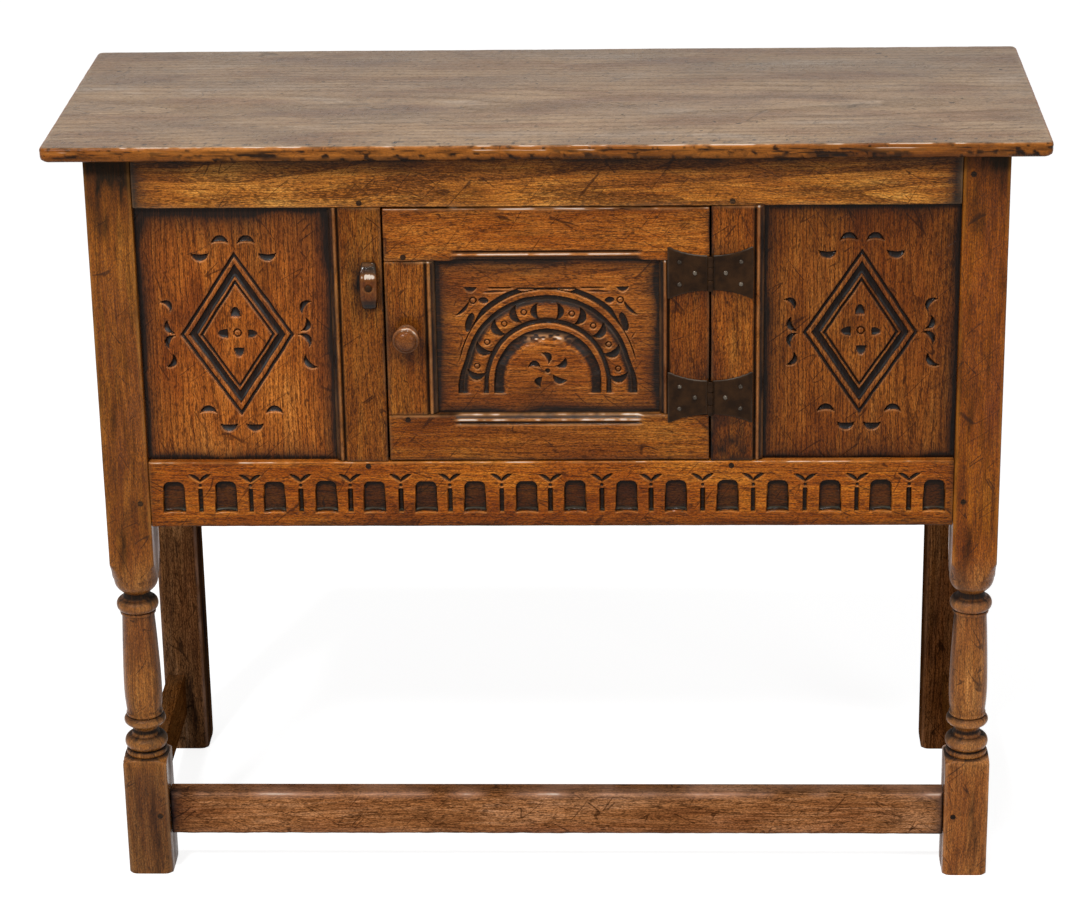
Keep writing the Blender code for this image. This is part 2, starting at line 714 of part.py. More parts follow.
def make_panel(name, wall, opening):
    along = (opening[0] - PANEL_GROOVE, opening[1] + PANEL_GROOVE)
    up = (BOTTOM_RAIL_TOP - PANEL_GROOVE, TOP_RAIL_BOTTOM + PANEL_GROOVE)
    return make_panel_board(name, wall, along, up, PANEL_FACE)


def moulding(width, depth):
    """Half section of the scratched moulding, from the panel edge inwards: ovolo, quirk, bead, quirk."""
    ovolo = [(0, 1), (0.10, 0.70), (0.24, 0.44), (0.38, 0.32)]
    bead = [(0.44, 0.58), (0.52, 0.26), (0.64, 0.14), (0.76, 0.26), (0.84, 0.52)]
    return [(across * width, drop * depth) for across, drop in ovolo + bead + [(1, 0)]]


def moulded_upright(name, edge, far, thick, up, parent=None, origin=(0, 0, 0)):
    """An upright with a groove and a moulding along its panel edge, standing between two rails."""
    sign = 1 if far > edge else -1
    face = FRONT_FACE
    groove = edge + sign * (PANEL_GROOVE + FIT)
    outline = [(far, face), (far, face + thick), (edge, face + thick)]
    outline += [(edge, FRONT + GROOVE_IN[1]), (groove, FRONT + GROOVE_IN[1])]
    outline += [(groove, FRONT + GROOVE_IN[0]), (edge, FRONT + GROOVE_IN[0])]
    outline += [(edge + sign * step, face + drop) for step, drop in moulding(MOULD_WIDTH, MOULD_DEPTH)]
    mesh = outline_mesh(name, [outline], up[1] - up[0], False)
    move_mesh(mesh, Vector((0, 0, (up[0] + up[1]) / 2)) - Vector(origin))
    return add_object(name, mesh, OAK_FRAME, parent, origin)


def upright_tenons(edge, far, up, length):
    inner = sorted((edge, far))
    along = (inner[0] + TENON_SHOULDER, inner[1] - TENON_SHOULDER)
    cheek = RAIL_SETBACK + TENON_SETBACK
    inward = (cheek, cheek + TENON_THICK)
    lower = wall_box("front", along, inward, (up[0] - length, up[0] + ROOT))
    upper = wall_box("front", along, inward, (up[1] - ROOT, up[1] + length))
    return [lower, upper]


def make_muntins():
    up = (BOTTOM_RAIL_TOP + FIT, TOP_RAIL_BOTTOM - FIT)
    for side, sign in (("left", -1), ("right", 1)):
        edge = sign * MUNTIN_OUTER
        far = sign * MUNTIN_INNER
        muntin = moulded_upright(f"{side}_muntin", edge, far, RAIL_THICK, up)
        join_boxes(muntin, upright_tenons(edge, far, up, MUNTIN_TENON))
        places = [(sign * MUNTIN_PEG_X, z) for z in RAIL_PEGS.values()]
        drill_for_pegs(muntin, places, FRONT_FACE, RAIL_PEG_DEPTH)
        if sign < 0:
            hole = (BUTTON_X, BUTTON_Z, FRONT_FACE - CUT_MARGIN, FRONT_FACE + BUTTON_SCREW_DEPTH + FIT)
            cut_holes(muntin, [hole], BUTTON_SCREW_RADIUS + FIT, PEG_SIDES)


def make_front_panels():
    for side, sign in (("left", -1), ("right", 1)):
        opening = sorted((sign * (SIDE - LEG), sign * MUNTIN_OUTER))
        panel = make_panel(f"{side}_front_panel", "front", opening)
        carve_lozenge(panel, sum(opening) / 2, (BOTTOM_RAIL_TOP + TOP_RAIL_BOTTOM) / 2)


def make_floor():
    inset = RAIL_BACK - FLOOR_GROOVE
    low = Vector((inset - SIDE, FRONT + inset, FLOOR_TOP - FLOOR_THICK))
    high = Vector((SIDE - inset, BACK - inset, FLOOR_TOP))
    board = add_object("bottom_board", boxes_mesh("bottom_board", [(low, high)]), OAK_INSIDE)
    notch = Vector((LEG / 2 + FIT, LEG / 2 + FIT, FLOOR_THICK))
    middles = [Vector((x, y, FLOOR_TOP - FLOOR_THICK / 2)) for x, y in LEG_CENTRES.values()]
    cut_boxes(board, [(middle - notch, middle + notch) for middle in middles])


def make_door_stop():
    inward = (RAIL_BACK + FIT, RAIL_BACK + FIT + STOP_THICK)
    along = (STOP_LAP - MUNTIN_INNER - STOP_WIDTH, STOP_LAP - MUNTIN_INNER)
    box = wall_box("front", along, inward, (FLOOR_TOP + FIT, TOP_RAIL_BOTTOM + MUNTIN_TENON))
    add_object("door_stop", boxes_mesh("door_stop", [box]), OAK_INSIDE)


# Door
def make_door_rails(door):
    for name, low, high, joint in (("door_top_rail", DOOR_PANEL_HIGH, DOOR_HIGH, DOOR_PANEL_HIGH),
                                   ("door_bottom_rail", DOOR_LOW, DOOR_PANEL_LOW, DOOR_PANEL_LOW)):
        away = 1 if joint == low else -1
        box = wall_box("front", (-DOOR_HALF, DOOR_HALF), (RAIL_SETBACK, RAIL_BACK), (low, high))
        middle = (box[0] + box[1]) / 2
        mesh = boxes_mesh(name, [(box[0] - middle, box[1] - middle)])
        rail = add_object(name, mesh, OAK_FRAME, door, middle)
        reach = DOOR_OPENING + PANEL_GROOVE + FIT
        cuts = [wall_box("front", (-reach, reach), GROOVE_IN,
                         (joint - away * CUT_MARGIN, joint + away * (PANEL_GROOVE + FIT)))]
        cheek = RAIL_SETBACK + TENON_SETBACK
        for sign in (-1, 1):
            near = DOOR_OPENING + TENON_SHOULDER - FIT
            along = (sign * near, sign * (DOOR_HALF - TENON_SHOULDER + FIT))
            cuts.append(wall_box("front", along, (cheek - FIT, cheek + TENON_THICK + FIT),
                                 (joint - away * CUT_MARGIN, joint + away * (DOOR_TENON + FIT))))
        cut_boxes(rail, cuts)
        scratch_moulding(rail, joint, away)
        peg = DOOR_PEGS["door_peg_top" if away > 0 else "door_peg_bottom"]
        drill_for_pegs(rail, [(DOOR_PEG_X, peg)], FRONT_FACE, RAIL_PEG_DEPTH)


def scratch_moulding(rail, joint, away):
    """The rails' moulding stops short of the stiles, so it is cut in instead of running through."""
    half = moulding(MOULD_WIDTH, MOULD_DEPTH)
    section = [(FRONT_FACE + drop, joint + away * step) for step, drop in half]
    below = joint - away * CUT_MARGIN
    section += [(FRONT_FACE - CUT_MARGIN, joint + away * MOULD_WIDTH), (FRONT_FACE - CUT_MARGIN, below)]
    section += [(FRONT_FACE + MOULD_DEPTH, below)]
    length = 2 * (DOOR_OPENING - DOOR_MOULD_STOP)
    mesh = outline_mesh("moulding", [section], length, False)
    mesh.transform(Matrix(((0, 0, 1, 0), (1, 0, 0, 0), (0, 1, 0, 0), (0, 0, 0, 1))))
    combine(rail, mesh, "DIFFERENCE")


def make_door_stiles(door):
    up = (DOOR_PANEL_LOW + FIT, DOOR_PANEL_HIGH - FIT)
    for side, sign in (("left", -1), ("right", 1)):
        edge = sign * DOOR_OPENING
        far = sign * DOOR_HALF
        stile = moulded_upright(f"door_{side}_stile", edge, far, RAIL_THICK, up, door, HINGE_AXIS)
        join_boxes(stile, upright_tenons(edge, far, up, DOOR_TENON))
        if sign < 0:
            places = [(DOOR_PEG_X, z) for z in DOOR_PEGS.values()]
            drill_for_pegs(stile, places, FRONT_FACE, RAIL_PEG_DEPTH)
            hole = (KNOB_X, KNOB_Z, FRONT_FACE - CUT_MARGIN, FRONT_FACE + SPIGOT_LENGTH + FIT)
            cut_holes(stile, [hole], SPIGOT_RADIUS + FIT, LATHE_STEPS)


def make_door_panel(door):
    along = (-DOOR_OPENING - PANEL_GROOVE, DOOR_OPENING + PANEL_GROOVE)
    up = (DOOR_PANEL_LOW - PANEL_GROOVE, DOOR_PANEL_HIGH + PANEL_GROOVE)
    panel = make_panel_board("door_panel", "front", along, up, PANEL_FACE, door, HINGE_AXIS)
    carve_lunette(panel)


def make_knob(door):
    neck = KNOB_ROSE + KNOB_NECK
    profile = arc(0, neck + KNOB_HEAD / 2, KNOB_RADIUS, KNOB_HEAD / 2, 90, -60, 9)
    profile += [(KNOB_NECK_RADIUS, neck), (KNOB_NECK_RADIUS, KNOB_ROSE + KNOB_NECK / 3)]
    profile += [(KNOB_ROSE_RADIUS, KNOB_ROSE), (KNOB_ROSE_RADIUS, FIT), (SPIGOT_RADIUS, FIT)]
    profile += [(SPIGOT_RADIUS, -SPIGOT_LENGTH), (0, -SPIGOT_LENGTH)]
    mesh = lathe_mesh("door_knob", profile)
    knob = add_object("door_knob", mesh, FRUITWOOD, door, (KNOB_X, FRONT_FACE, KNOB_Z))
    knob.rotation_euler.x = math.pi / 2
    add_screw(knob, LATHE_STEPS)


# Hinges
def knuckles(z, whole, grow):
    """Frame leaf: the two outer knuckles. Door leaf: the middle one. Each is a (bottom, top) pair."""
    half = MIDDLE_KNUCKLE / 2
    end = HINGE_WAIST / 2
    if whole == "door":
        return [(z - half - grow, z + half + grow)]
    return [(z - end - grow, z - half - FIT + grow), (z + half + FIT - grow, z + end + grow)]


def knuckle_mesh(spans, radius):
    work = bmesh.new()
    for low, high in spans:
        centre = (HINGE_AXIS.x, HINGE_AXIS.y, (low + high) / 2)
        add_cylinder(work, centre, radius, high - low, "Z", KNUCKLE_SIDES)
    return mesh_of("knuckles", work)


def leaf_outline(z, sign):
    """Half a butterfly: narrow at the knuckle, flaring in a curve to its outer end."""
    steps = 6
    upper = []
    for step in range(steps + 1):
        share = step / steps
        reach = KNUCKLE_RADIUS * 0.3 + (HINGE_REACH - KNUCKLE_RADIUS * 0.3) * share
        half = (HINGE_WAIST + (HINGE_END - HINGE_WAIST) * share ** 2) / 2
        upper.append((sign * reach, half))
    lower = [(x, -half) for x, half in reversed(upper)]
    return [(HINGE_AXIS.x + x, z + half) for x, half in upper + lower]


def make_leaf(name, z, kind, parent):
    sign = -1 if kind == "door" else 1
    other = "frame" if kind == "door" else "door"
    back = FRONT_FACE - FIT
    mesh = outline_mesh(name, [leaf_outline(z, sign)], HINGE_PLATE, True)
    origin = HINGE_AXIS if parent else Vector((0, 0, 0))
    move_mesh(mesh, Vector((0, back - HINGE_PLATE / 2, 0)) - origin)
    leaf = add_object(name, mesh, IRON, parent, origin)
    combine(leaf, knuckle_mesh(knuckles(z, kind, 0), KNUCKLE_RADIUS), "UNION")
    combine(leaf, knuckle_mesh(knuckles(z, other, FIT), KNUCKLE_RADIUS + 2 * FIT), "DIFFERENCE")
    bore = (z - HINGE_END, z + HINGE_END)
    combine(leaf, knuckle_mesh([bore], PIN_RADIUS + FIT), "DIFFERENCE")
    nails = bmesh.new()
    dome = Matrix.Diagonal((NAIL_RADIUS, NAIL_DOME, NAIL_RADIUS, 1))
    for reach, height in NAILS:
        centre = (HINGE_AXIS.x + sign * reach, back - HINGE_PLATE, z + height)
        bmesh.ops.create_uvsphere(nails, u_segments=8, v_segments=4, radius=1,
                                  matrix=Matrix.Translation(centre) @ dome)
    combine(leaf, mesh_of("nail_heads", nails), "UNION")


def make_hinges(door):
    for side, sign in (("upper", 1), ("lower", -1)):
        z = HINGE_MIDDLE + sign * HINGE_SPACING / 2
        make_leaf(f"{side}_hinge_frame_leaf", z, "frame", None)
        make_leaf(f"{side}_hinge_door_leaf", z, "door", door)
        pin = bmesh.new()
        add_cylinder(pin, (0, 0, 0), PIN_RADIUS, HINGE_WAIST, "Z", KNUCKLE_SIDES)
        place_of_pin = (HINGE_AXIS.x, HINGE_AXIS.y, z)
        add_object(f"{side}_hinge_pin", mesh_of("pin", pin), IRON, None, place_of_pin)


# Turn button
def make_turn_button():
    half = BUTTON_LENGTH / 2
    end = BUTTON_WIDTH * 0.41
    upper = [(end, half), (BUTTON_WIDTH * 0.48, half * 0.5), (BUTTON_WIDTH / 2, 0)]
    right = upper + [(x, -z) for x, z in reversed(upper[:-1])]
    outline = right + [(-x, z) for x, z in reversed(right)]
    mesh = outline_mesh("turn_button", [outline], BUTTON_THICK, True)
    middle = FRONT_FACE - FIT - BUTTON_THICK / 2
    button = add_object("turn_button", mesh, FRUITWOOD, None, (BUTTON_X, middle, BUTTON_Z))
    slope = BUTTON_FACET_SLOPE
    for sign in (-1, 1):
        wedge = boxes_mesh("facet", [(Vector((-half, -2 * half, -half)), Vector((half, 0, half)))])
        cutter = combine(button, wedge, "DIFFERENCE")
        crease = sign * half * BUTTON_FACET_SHARE
        cutter.location = (BUTTON_X, middle - BUTTON_THICK / 2, BUTTON_Z + crease)
        cutter.rotation_euler.x = -sign * slope
        cutter.location += Vector((0, math.sin(slope) * half, sign * math.cos(slope) * half))
    hole = (BUTTON_X, BUTTON_Z, middle - BUTTON_THICK, middle + BUTTON_THICK)
    cut_holes(button, [hole], BUTTON_SCREW_RADIUS + FIT, PEG_SIDES)
    top = BUTTON_THICK + 2 * FIT
    profile = [(0, top + BUTTON_HEAD_HEIGHT), (BUTTON_HEAD_RADIUS * 0.6, top + BUTTON_HEAD_HEIGHT * 0.8)]
    profile += [(BUTTON_HEAD_RADIUS, top), (BUTTON_SCREW_RADIUS, top)]
    profile += [(BUTTON_SCREW_RADIUS, -BUTTON_SCREW_DEPTH), (0, -BUTTON_SCREW_DEPTH)]
    mesh = lathe_mesh("screw", profile)
    screw = add_object("turn_button_screw", mesh, IRON, None, (BUTTON_X, FRONT_FACE, BUTTON_Z))
    screw.rotation_euler.x = math.pi / 2
    add_screw(screw, PEG_SIDES)


# Carving
def half_moon(x, z, width, height):
    """A gouge cut: flat along z, with its round side up, or down where height is negative."""
    count = 7
    points = []
    for step in range(count):
        angle = math.pi * step / (count - 1)
        points.append((x + width / 2 * math.cos(angle), z + height * math.sin(angle)))
    return points


def leaf_cut(x, z, length, width, angle):
    """A pointed oval with its long axis at an angle."""
    count = 5
    side = []
    for step in range(count):
        share = step / (count - 1)
        side.append((length * (share - 0.5), width / 2 * math.sin(math.pi * share)))
    outline = side + [(a, -b) for a, b in reversed(side[1:-1])]
    cosine = math.cos(angle)
    sine = math.sin(angle)
    return [(x + a * cosine - b * sine, z + a * sine + b * cosine) for a, b in outline]


def tombstone(x, base):
    """A niche: straight sides and a flat head with rounded shoulders."""
    outline = [(x - NICHE_WIDTH / 2, base), (x + NICHE_WIDTH / 2, base)]
    reach = NICHE_WIDTH / 2 - NICHE_SHOULDER
    spring = base + NICHE_HEIGHT - NICHE_SHOULDER
    outline += arc(x + reach, spring, NICHE_SHOULDER, NICHE_SHOULDER, 0, 90, 4)
    return outline + arc(x - reach, spring, NICHE_SHOULDER, NICHE_SHOULDER, 90, 180, 4)


def gull(x, tip):
    """The pair of spread wings cut over each flute."""
    wing = GULL_SPAN / 2
    lower = [(x - wing, tip), (x, tip - GULL_DROP), (x + wing, tip)]
    return lower + [(x + wing / 2, tip), (x, tip - GULL_DROP / 2), (x - wing / 2, tip)]


def carve_frieze(rail):
    first = -NICHE_PITCH * (FRIEZE_NICHES - 1) / 2
    base = BOTTOM_RAIL_BOTTOM + NICHE_BOTTOM
    niches = []
    flutes = []
    for index in range(FRIEZE_NICHES):
        x = first + index * NICHE_PITCH
        niches.append(tombstone(x, base))
    for index in range(FRIEZE_NICHES - 1):
        x = first + (index + 0.5) * NICHE_PITCH
        half = FLUTE_WIDTH / 2
        head = base + FLUTE_HEIGHT
        flutes.append([(x - half, base), (x + half, base), (x + half, head), (x - half, head)])
        flutes.append(gull(x, base + GULL_RISE))
    engrave(rail, niches, FRONT_FACE, NICHE_DEPTH)
    engrave(rail, flutes, FRONT_FACE, FLUTE_DEPTH)


def lozenge(x, z, inset):
    width = LOZENGE_HALF_WIDTH
    height = LOZENGE_HALF_HEIGHT
    slant = math.hypot(width, height)
    across = width - inset * slant / height
    tall = height - inset * slant / width
    return [(x + across, z), (x, z + tall), (x - across, z), (x, z - tall)]


def carve_lozenge(panel, x, z):
    face = FRONT + PANEL_FACE
    lines = (0, LOZENGE_LINE, LOZENGE_INNER_LINE, LOZENGE_INNER_LINE + LOZENGE_LINE)
    channel = (LOZENGE_CHANNEL_START, LOZENGE_CHANNEL_END)
    engrave(panel, [lozenge(x, z, inset) for inset in lines], face, LINE_DEPTH)
    engrave(panel, [lozenge(x, z, inset) for inset in channel], face, CHANNEL_DEPTH)
    cuts = []
    for sign in (-1, 1):
        cuts.append(leaf_cut(x, z + sign * PETAL_UP, PETAL_LENGTH, PETAL_WIDTH, math.pi / 2))
        cuts.append(leaf_cut(x + sign * PETAL_OUT, z, PETAL_LENGTH, PETAL_WIDTH, 0))
        for end in (-1, 1):
            near = LOZENGE_HALF_HEIGHT - GOUGE_BELOW_TIP
            far = LOZENGE_HALF_HEIGHT + GOUGE_ABOVE_TIP
            outer = half_moon(x + sign * GOUGE_OUTER, z + end * near, GOUGE_WIDTH, -end * GOUGE_HEIGHT)
            inner = half_moon(x + sign * GOUGE_INNER, z + end * far, GOUGE_WIDTH, end * GOUGE_HEIGHT)
            cuts += [outer, inner]
    engrave(panel, cuts, face, GOUGE_DEPTH)


def stilted_arch(base, radius):
    """An arch of nearly a half circle on short straight legs, from right to left."""
    spring = base + LUNETTE_STILT + LUNETTE_STILT_SLOPE * radius
    count = 15
    points = [(radius, base)]
    for step in range(count):
        angle = math.pi * step / (count - 1)
        points.append((radius * math.cos(angle), spring + radius * math.sin(angle)))
    return points + [(-radius, base)]


def carve_lunette(panel):
    face = FRONT + PANEL_FACE
    base = DOOR_PANEL_LOW + LUNETTE_RISE
    bands = []
    for outer, inner in (LUNETTE_OUTER_CUT, LUNETTE_MIDDLE_CUT, LUNETTE_INNER_CUT):
        bands.append(stilted_arch(base, outer) + stilted_arch(base, inner)[::-1])
    engrave(panel, bands, face, LINE_DEPTH)
    spring = base + LUNETTE_STILT + LUNETTE_STILT_SLOPE * DISC_CIRCLE
    cuts = []
    for index in range(LUNETTE_DISCS):
        angle = math.pi * (index + 0.5) / LUNETTE_DISCS
        x = DISC_CIRCLE * math.cos(angle)
        z = spring + DISC_CIRCLE * math.sin(angle)
        cuts.append(half_moon(x, z, 2 * DISC_CUT_RADIUS, -DISC_CUT_RADIUS))
    for index in range(WHIRL_CUTS):
        angle = math.tau * (index / WHIRL_CUTS + 0.25)
        x = WHIRL_CIRCLE * math.cos(angle)
        z = base + WHIRL_RISE + WHIRL_CIRCLE * math.sin(angle)
        cuts.append(leaf_cut(x, z, WHIRL_CUT_LENGTH, WHIRL_CUT_WIDTH, angle + WHIRL_TWIST))
    engrave(panel, cuts, face, GOUGE_DEPTH)


def make_door():
    door = bpy.data.objects.new("door_pivot", None)
    door.location = HINGE_AXIS
    PARTS.objects.link(door)
    make_door_rails(door)
    make_door_stiles(door)
    make_door_panel(door)
    make_knob(door)
    make_hinges(door)
    make_pegs(door)


make_top()
make_legs()
make_front_rails()
make_side_stretchers()
for plain_wall in ("left", "right", "back"):
    make_plain_wall(plain_wall)
make_muntins()
make_front_panels()
make_floor()
make_door_stop()
make_door()
make_turn_button()
bpy.context.view_layer.update()
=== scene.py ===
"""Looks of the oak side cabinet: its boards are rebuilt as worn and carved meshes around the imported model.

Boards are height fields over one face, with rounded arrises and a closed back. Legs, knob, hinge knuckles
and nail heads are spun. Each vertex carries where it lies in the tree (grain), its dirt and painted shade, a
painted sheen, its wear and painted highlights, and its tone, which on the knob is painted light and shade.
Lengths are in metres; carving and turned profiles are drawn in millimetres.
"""
import math

import bpy
import numpy as np
from mathutils import Matrix, Vector


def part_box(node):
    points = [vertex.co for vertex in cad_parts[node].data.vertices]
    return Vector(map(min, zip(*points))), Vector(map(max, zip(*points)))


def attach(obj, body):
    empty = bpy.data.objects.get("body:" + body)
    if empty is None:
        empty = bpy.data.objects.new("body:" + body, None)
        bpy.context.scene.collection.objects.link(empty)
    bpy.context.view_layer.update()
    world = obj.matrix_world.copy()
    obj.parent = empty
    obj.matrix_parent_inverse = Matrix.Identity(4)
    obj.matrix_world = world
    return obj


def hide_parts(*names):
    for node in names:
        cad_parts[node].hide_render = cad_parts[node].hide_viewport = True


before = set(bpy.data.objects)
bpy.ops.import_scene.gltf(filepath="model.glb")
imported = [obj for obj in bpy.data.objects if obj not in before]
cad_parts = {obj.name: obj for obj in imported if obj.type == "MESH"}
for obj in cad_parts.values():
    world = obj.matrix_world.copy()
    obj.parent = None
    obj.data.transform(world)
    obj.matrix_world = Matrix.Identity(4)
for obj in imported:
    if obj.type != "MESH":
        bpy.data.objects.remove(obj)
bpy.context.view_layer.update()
MM = 0.001


# Numbers: noise, steps and blurs
def lattice(i, j, seed):
    """A repeatable number from 0 to 1 for each point of a grid."""
    value = np.sin(i * 127.1 + j * 311.7 + seed * 74.7) * 43758.5453
    return value - np.floor(value)


def noise(x, y, seed):
    """Smooth value noise from -1 to 1."""
    i = np.floor(x)
    j = np.floor(y)
    a = x - i
    b = y - j
    a = a * a * (3 - 2 * a)
    b = b * b * (3 - 2 * b)
    low = lattice(i, j, seed) * (1 - a) + lattice(i + 1, j, seed) * a
    high = lattice(i, j + 1, seed) * (1 - a) + lattice(i + 1, j + 1, seed) * a
    return 2 * (low * (1 - b) + high * b) - 1


def rough_noise(x, y, seed):
    """Three octaves of noise."""
    return sum(share * noise(x * scale, y * scale, seed + 4 * k)
               for k, (scale, share) in enumerate(((1, 0.6), (2.3, 0.28), (5.1, 0.12))))


def flecked(x, y, seed, least):
    """Rough noise over a least value, from 0 to 1: scattered marks."""
    return np.clip(rough_noise(x, y, seed) - least, 0, 1)


def bell(value, middle, width):
    return np.exp(-((value - middle) / width) ** 2)


def smooth(low, high, value):
    """A soft step from 0 at low to 1 at high; low may be the larger."""
    share = np.clip((value - low) / (high - low), 0, 1)
    return share * share * (3 - 2 * share)


def blur(field, cells):
    """A Gaussian blur along both axes of a grid."""
    reach = int(3 * cells) + 1
    weights = np.exp(-0.5 * (np.arange(-reach, reach + 1) / cells) ** 2)
    weights /= weights.sum()
    for axis in (0, 1):
        padded = np.pad(field, [(reach, reach) if axis == n else (0, 0) for n in (0, 1)], mode="edge")
        length = field.shape[axis]
        field = sum(w * np.take(padded, range(k, k + length), axis) for k, w in enumerate(weights))
    return field


# Carving: cut depths over a grid, in millimetres from a point
def from_point(u, v, point):
    return u / MM - point[0], v / MM - point[1]


def band(distance, low, high, wall):
    """A cut between two distances, with sloping walls."""
    return np.clip(np.minimum(distance - low, high - distance) / wall, 0, 1)


def lens(x, z, start, end, low, high, depth, wall=1.0, power=0.5, slope=0.6):
    """A cut between two arcs over one chord, as a gouge makes it; low and high are the arcs' rises.

    The rises lie to the left of the way from start to end. The floor slopes, and its upper side is deeper.
    """
    along = np.array(end, float) - np.array(start, float)
    length = math.hypot(*along)
    along /= length
    s = ((x - start[0]) * along[0] + (z - start[1]) * along[1]) / length
    n = (z - start[1]) * along[0] - (x - start[0]) * along[1]
    shape = np.where((s > 0) & (s < 1), np.clip(4 * s * (1 - s), 0, 1) ** power, 0)
    inside = np.minimum(n - low * shape, high * shape - n)
    share = np.clip((n - low * shape) / np.maximum((high - low) * shape, 1e-6), 0, 1)
    floor = 1 - slope * (1 - share if along[0] > 0 else share)
    return depth * np.clip(inside / wall, 0, 1) * floor * (shape > 0)


def ring_punch(x, z, place, radius, width, depth):
    """The circle that a ring punch leaves."""
    r = np.hypot(x - place[0], z - place[1])
    return depth * np.clip(1 - np.abs(r - radius) / width, 0, 1)


# The lozenge's half width and half height, and its channels: depth, from, to and wall, from the outline in
LOZENGE = (61.5, 94.0)
CHANNELS = ((3.2, -0.6, 3.7, 1.1), (4.2, 7.2, 15.8, 1.3), (3.0, 17.0, 20.6, 1.0))
# Petals round a punched ring: start, end and rise
PETALS = (((-6.4, 20), (4.2, 20), 11.8), ((6.6, -15), (-4.2, -15), 11.5),
          ((-10.4, -3.8), (-10.4, 6.6), 11.7), ((11.6, 5.8), (11.6, -3.4), 10.4))
PETAL_RING = (0, 2.3)
# Gouge cuts at the points, arched or hanging: middle, base and rise; and the half length of each
ARCHES = ((14.2, 102.6, 9.6), (36.4, -92.4, 9.4))
SMILES = ((36.4, 93.4, 9.4), (14.2, -102.4, 9.6))
GOUGE = 9.6
# Commas at the sides: start and end
COMMAS = (((-84, 36), (-72.6, 25)), ((-66.2, 2), (-73.6, 18.2)), ((-73.4, -17), (-66.4, -1.6)),
          ((-72.4, -21.4), (-81, -36)), ((73.4, 22.6), (83.6, 36.6)), ((74.2, 19.6), (67.6, 4.2)),
          ((65.4, -0.8), (76.6, -15.4)), ((87.4, -37), (74.2, -22.6)))


def lozenge_cut(middle):
    """A lozenge of channels with four petals, gouge cuts at its points and commas at its sides."""
    wide, tall = LOZENGE

    def cut(u, v):
        x, z = from_point(u, v, middle)
        x = x + 0.35 * noise(x / 30, z / 30, 3)
        z = z + 0.35 * noise(x / 30, z / 30, 4)
        inset = (1 - np.abs(x) / wide - np.abs(z) / tall) * wide * tall / math.hypot(wide, tall)
        inset = inset + 0.3 * noise(x / 9, z / 9, 8)
        cuts = [depth * band(inset, *reach) for depth, *reach in CHANNELS]
        cuts += [lens(x, z, start, end, -0.4, rise, 3.4, 1.0, 0.45) for start, end, rise in PETALS]
        cuts.append(ring_punch(x, z, PETAL_RING, 3.9, 1.3, 2.6))
        for sign in (-1, 1):
            for place, base, rise in ARCHES:
                tips = (place * sign - GOUGE, base), (place * sign + GOUGE, base)
                cuts.append(lens(x, z, *tips, 2.6, rise + 1.0, 4.2, 0.9, 0.6, 0.7))
            for place, base, rise in SMILES:
                tips = (place * sign + GOUGE, base), (place * sign - GOUGE, base)
                cuts.append(lens(x, z, *tips, 2.0, rise + 1.0, 4.2, 0.9, 0.5, 0.7))
        cuts += [lens(x, z, *tips, 3.5, 10.2, 4.2, 0.9, 0.55) for tips in COMMAS]
        return np.max(cuts, 0) * MM
    return cut


# The middle of the lunette's foot, and the discs of its band
LUNETTE = (-0.8, 585.7)
DISCS = ((-76.9, 30.6), (-65.8, 58.2), (-47, 79.4), (-25.5, 92.7),
         (28.1, 90.7), (51.1, 76.6), (67.3, 55), (77.1, 27))
# Cuts of the whirl: start, end and both rises
WHIRL = (((-7.9, 46), (0.4, 33), 2.2, 8.2), ((18.9, 41.5), (8.2, 31.7), 2.0, 8.4),
         ((21.5, 15.7), (6.4, 21.4), 1.2, 7.8), ((-7, 6.6), (-4.8, 18.9), 0.8, 7.6),
         ((-21.2, 28.8), (-7.6, 28.2), 2.2, 8.0))
# Leaves of the right spandrel, mirrored in the left one: start, end, both rises, depth, bluntness
LEAVES = (((89.6, 122.4), (74.6, 121.9), 0, 6.9, 2.8, 0.9), ((43, 117), (70.4, 115.8), -1.6, 1.8, 2.2, 0.6),
          ((62.4, 105.6), (73.4, 107.4), -4.0, 4.0, 3.0, 0.6),
          ((83.6, 106.4), (99.4, 89.6), -5.4, -0.6, 3.0, 0.8),
          ((80.2, 92.6), (86.6, 70.6), -5.6, 4.6, 3.4, 0.5), ((96.4, 71), (91, 62), -1.2, 1.2, 1.8, 0.6),
          ((91.4, 64), (95.6, 49), -1.4, 1.2, 1.8, 0.6))


